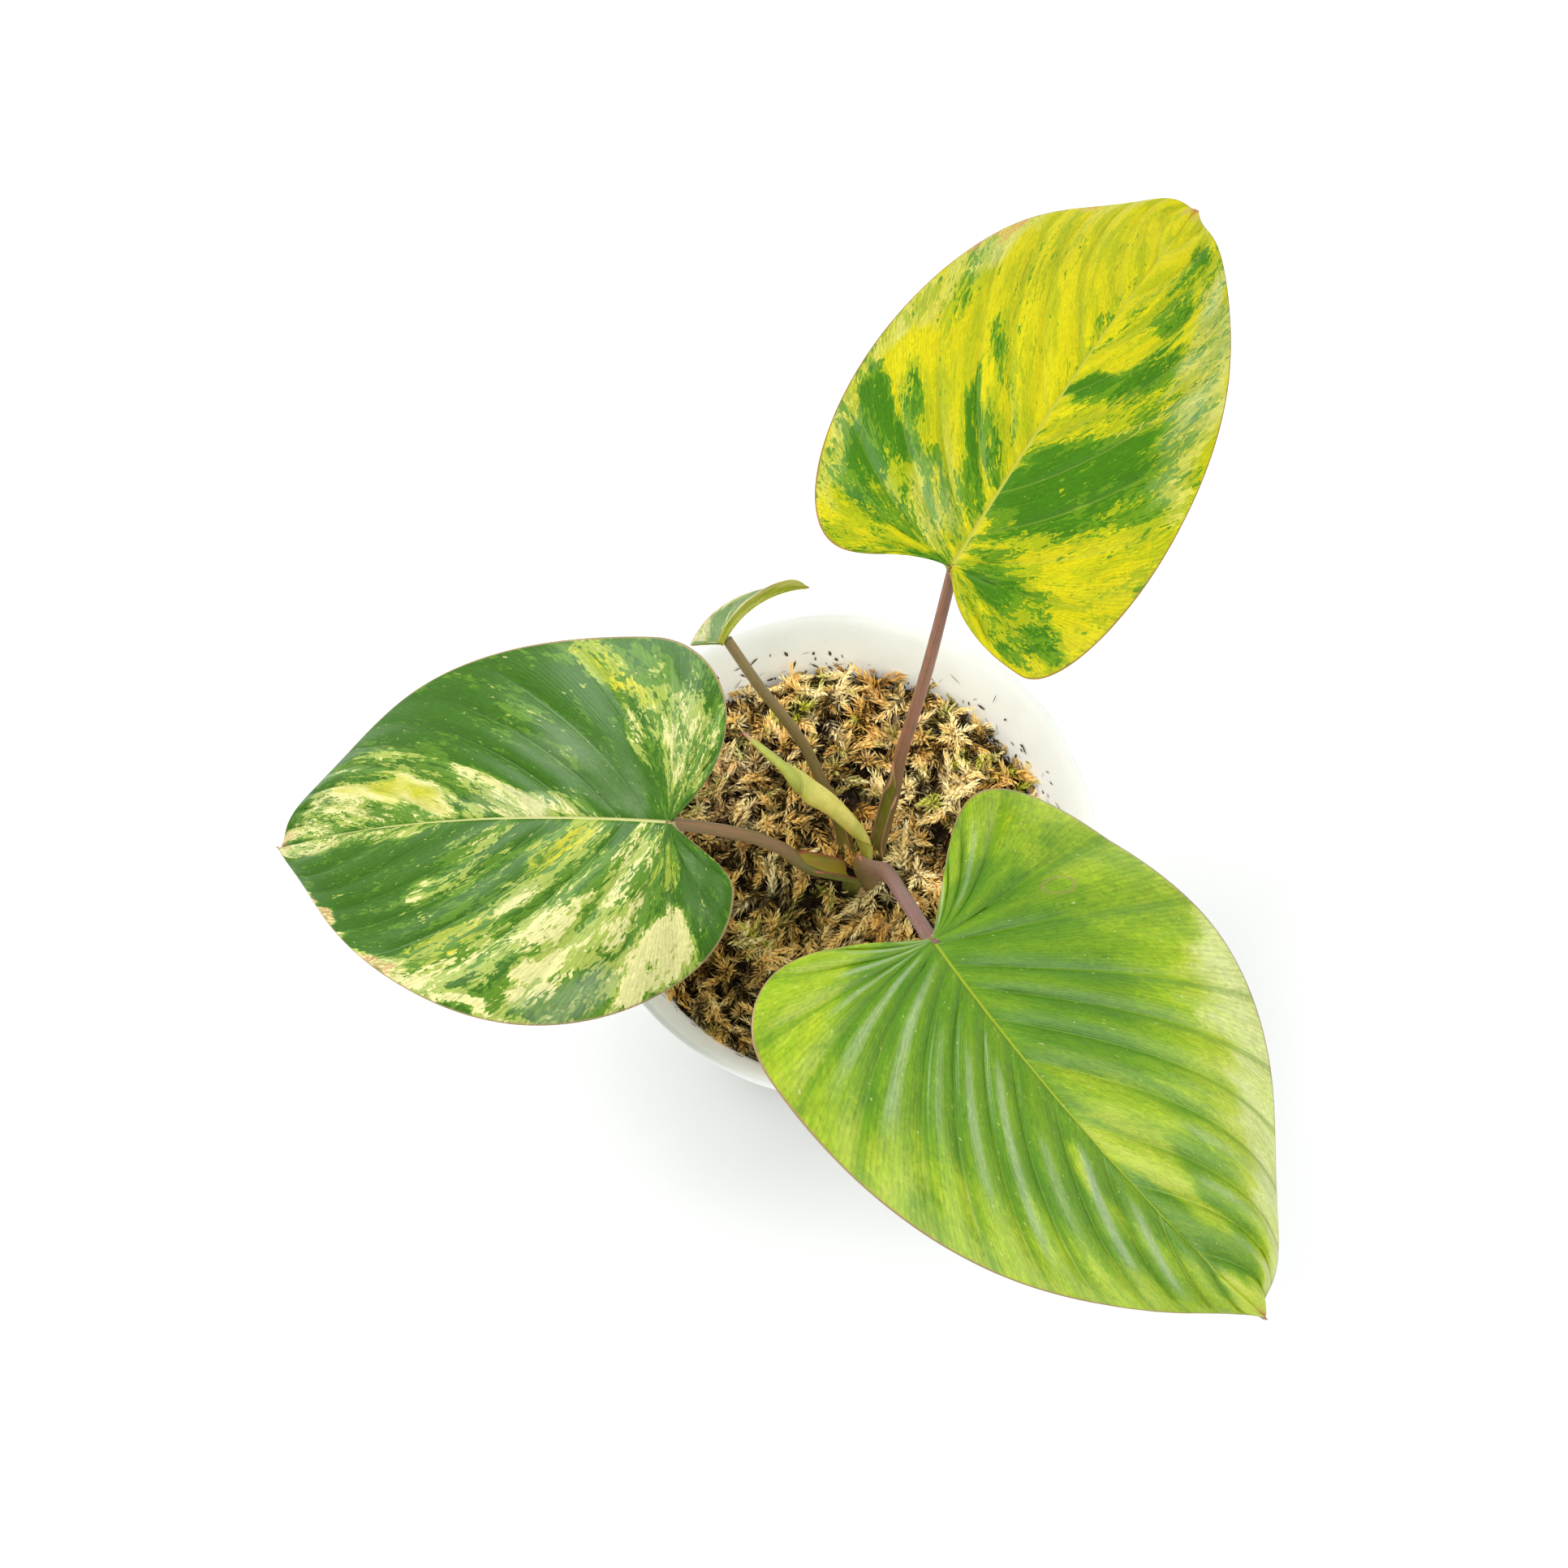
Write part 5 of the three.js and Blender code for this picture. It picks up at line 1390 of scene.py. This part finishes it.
def moss_finish():
    f = Finish("dried_moss")
    place = f.place()
    tone, tip, above = f.attribute("tone"), f.attribute("tip"), f.attribute("above")
    patch = f.noise(place, 70, 2)
    green = f.noise(place, 58, 2)
    own = (tone * 41).fract()
    other = (tone * 97).fract()
    straw, brown = f.attribute("straw"), f.attribute("brown")
    value = 0.95 * (tone - 0.5) + 1.0 * (patch - 0.5) + 0.25 * straw - 0.22 * brown + 0.65
    stops = [(i / 5, srgb(*tone)) for i, tone in enumerate(MOSS_RAMP)]
    f.colour = f.node("ShaderNodeValToRGB", {"stops": stops}, {0: value})[0]
    golden = f.step(f.noise(place, 46, 2) + 0.3 * (own - 0.5), 0.5, 0.62)
    f.lay(golden * 0.3, (216, 158, 50))
    f.lay(f.attribute("grey") * 0.4, (206, 178, 150))
    olive = f.step(green + 0.35 * (other - 0.5), 0.6, 0.68) * (1 - f.step(straw, 0.0, 0.45))
    f.lay(olive * 0.75, f.mix(tone, (104, 96, 30), (178, 180, 76)))
    lime = f.attribute("lime") * f.step(other + 0.4 * tone, 0.2, 0.5)
    f.lay(lime * 0.9, f.mix(own, (146, 158, 8), (206, 208, 62)))
    f.lay((1 - f.step(tip, 0.05, 0.45)) * 0.8, (64, 38, 12))
    f.lay(f.step(tip, 0.45, 1.0) * 0.6, (255, 236, 176))
    # Painted shade: shoots close to the bed are darkened, for the shade deep in the moss.
    deep = 1 - f.step(above, 0.0014, 0.0054)
    f.lay(deep * 0.85, (36, 21, 8))
    f.shade(0.98 + 0.5 * f.noise(place, 800, 2))
    return f.close({"Roughness": 0.8 + 0.1 * (patch - 0.5), "Specular IOR Level": 0.25})


def bed_finish():
    f = Finish("moss_bed")
    place = f.place()
    rough = f.noise(place, 260, 5, 0.7)
    patch = f.noise(place, 70, 3)
    # The bed is near black and dark brown: painted shade deep among the shoots, where it shows between
    # them.
    f.colour = f.mix(f.step(rough, 0.35, 0.7), (20, 12, 5), (62, 40, 20))
    f.lay(f.step(patch, 0.55, 0.75) * 0.5, (44, 42, 14))
    return f.close({"Roughness": 0.9 + 0.1 * (patch - 0.5), "Normal": f.bump(rough, 0.0012, 0.9)})


def bark_finish(name, light, dark):
    f = Finish(name)
    place = f.place()
    grain = f.noise(place, (900, 260, 900), 4)
    patch = f.noise(place, 300)
    f.colour = f.mix(f.step(grain, 0.3, 0.7), light, dark)
    f.shade(0.8 + 0.5 * patch)
    return f.close({"Roughness": 0.75 + 0.2 * (grain - 0.5), "Normal": f.bump(grain, 0.0004, 0.8)})


def make_chip(name, material):
    """A splinter: a tapered block with worn corners and a rough outline."""
    chip = CHIPS[name]
    length, width, thick = chip["size"]
    rows, sides = CHIP_GRID
    share, angle = np.linspace(-1, 1, rows)[:, None], around(sides)[None]
    c, s = np.cos(angle), np.sin(angle)
    square = 1 / np.maximum(np.abs(c) ** 5 + np.abs(s) ** 5, 1e-6) ** 0.2
    taper = np.interp(share, [-1, -0.97, 0.97, 1], [0.72, 1, 0.78, 0.5])
    rough = 1 + 0.06 * np.sin(9 * share + 3 * angle) + 0.05 * np.sin(23 * share + 5 * angle + 1)
    x = share * length / 2 + 0.35 * np.sin(3 * angle + 1) * np.abs(share) ** 8
    y = width / 2 * taper * (square * c) * rough
    z = thick / 2 * (0.75 + 0.25 * taper) * (square * s) * rough
    rise, turn = math.radians(-chip["rise"]), math.radians(chip["turn"])
    x, z = x * math.cos(rise) + z * math.sin(rise), z * math.cos(rise) - x * math.sin(rise)
    x, y = x * math.cos(turn) - y * math.sin(turn), x * math.sin(turn) + y * math.cos(turn)
    at = np.array([*chip["at"], moss_height(*chip["at"]) + thick * 0.35])
    piece = closed_tube(f"splinter_{name}", np.stack([x, y, z], -1) + at, material)
    settle(piece, f"chip_{name}", f"chip_{name}")


def make_wall_band(material):
    """The strip of the pot's inside above the moss, for crumbs that stick to it."""
    sides, rows = 96, 8
    z = np.linspace(MOSS_EDGE_Z + 1, 95, rows)[:, None]
    points = ring(wall_inside(z) - 0.15, z, around(sides)).reshape(-1, 3)
    band = make_piece("wall_band", points, grid_faces(rows, sides, wrap=True)[:, ::-1], material)
    places = corner_places(band)
    turn = np.arctan2(places[:, 1], places[:, 0])
    high = (places[:, 2] - MOSS_EDGE_Z) / 16
    clump = 0.5 + 0.5 * np.sin(3 * turn + 0.6) * np.sin(7 * turn)
    cover = np.clip(1 - high, 0, 1) ** 1.6 * (0.25 + 0.75 * clump)
    set_field(band, "cover", cover)
    return band


def crumb_shape(name, rolls, length, width):
    """A crumb of four uneven rings of four points."""
    points = []
    for x, r in ((-0.5, 0.25), (-0.1, 1.0), (0.3, 0.8), (0.5, 0.2)):
        for k in range(4):
            angle = math.pi / 2 * k + rolls.uniform(-0.3, 0.3)
            points.append((length * x + rolls.uniform(-0.1, 0.1), width * r * math.cos(angle),
                           0.35 * width * r * math.sin(angle) + 0.1))
    faces = grid_faces(4, 4, wrap=True).tolist() + [[0, 2, 1], [0, 3, 2], [12, 13, 14], [12, 14, 15]]
    return bpy.data.objects.new(name, new_mesh(name, points, faces))


def make_moss():
    host = make_bed(bed_finish())
    rolls = np.random.default_rng(SHOOT_SEED)
    twigs = [tuft_shape(f"twig_{i}", *twig_leaflets(rolls, 30, rolls.uniform(7.5, 12), 2.8, 0.86))
             for i in range(9)]
    stars = [star_shape(f"star_{i}", rolls, 24, rolls.uniform(3.4, 4.4), 0.95) for i in range(5)]
    bits = [tuft_shape(f"bit_{i}", *twig_leaflets(rolls, 12, rolls.uniform(3, 5), 2.4, 0.86))
            for i in range(5)]
    strewing = scatter_tree("strewn")
    material = moss_finish()
    layers = (
        ("moss_bits", bits, (2.2, 0.8, 1.3, 0.2, 1.5, 0.0, -0.1, 0.25, 8)),
        ("moss_twigs", twigs, (3.3, 0.75, 1.15, 0.9, 1.6, 1.4, 0.1, 0.8, 3)),
        ("moss_sprays", twigs, (4.9, 0.85, 1.25, 1.05, 1.6, 2.8, 0.35, 1.0, 14)),
        ("moss_stars", stars, (8.5, 0.8, 1.25, 0.0, 0.7, 2.4, 0.45, 1.0, 21)),
    )
    for name, shapes, row in layers:
        moss = scatter(name, host, strewing, shapes, material, MOSS_DENSITY, 0.0, row)
        places = corner_places(moss)
        for spots in ("lime", "straw", "grey", "brown"):
            set_field(moss, spots, spotted(places, MOSS_SPOTS[spots]))
        settle(moss, "moss")
    make_sprigs(material)
    bpy.data.objects.remove(host)
    band = make_wall_band(material)
    sizes = [(rolls.uniform(1.0, 3.2), rolls.uniform(0.22, 0.6)) for _ in range(6)]
    sizes += [(rolls.uniform(3.5, 6.5), rolls.uniform(0.12, 0.2)) for _ in range(3)]
    crumbs = [crumb_shape(f"crumb_{i}", rolls, *size) for i, size in enumerate(sizes)]
    dark = bark_finish("crumbs", (112, 84, 52), (36, 26, 16))
    row = (0.8, 0.35, 1.1, -0.12, 0.12, 0.0, 0.0, 1.0, 5)
    settle(scatter("wall_crumbs", band, strewing, crumbs, dark, CRUMB_DENSITY, 1.0, row), "moss")
    bpy.data.objects.remove(band)


def make_floor():
    f = Finish("floor")
    cloud = f.noise(f.place(), 3, 2)
    f.colour = f.mix(cloud, (0.93, 0.93, 0.93, 1), (0.95, 0.95, 0.95, 1))
    material = f.close({"Roughness": 0.9})
    half = FLOOR_HALF
    mesh = new_mesh("floor", [(-half, -half, 0), (half, -half, 0), (half, half, 0), (-half, half, 0)],
                    [(0, 1, 2, 3)])
    mesh.materials.append(material)
    floor = add_object("floor", mesh)


make_camera()
make_light()
make_floor()
make_pot(pot_finish())
make_moss()
for leaf in BLADES:
    make_blade(leaf, leaf_finish(leaf, **LEAF_LOOKS[leaf]))
    make_stalk(leaf, stalk_finish(leaf))
make_spear(spear_finish())
for chip in CHIPS:
    make_chip(chip, bark_finish(f"chip_{chip}", *CHIPS[chip]["tones"]))
rhizome = frame["nodes"]["rhizome"]
rhizome.data.materials.clear()
rhizome.data.materials.append(bark_finish("rhizome", (150, 116, 78), (92, 66, 42)))
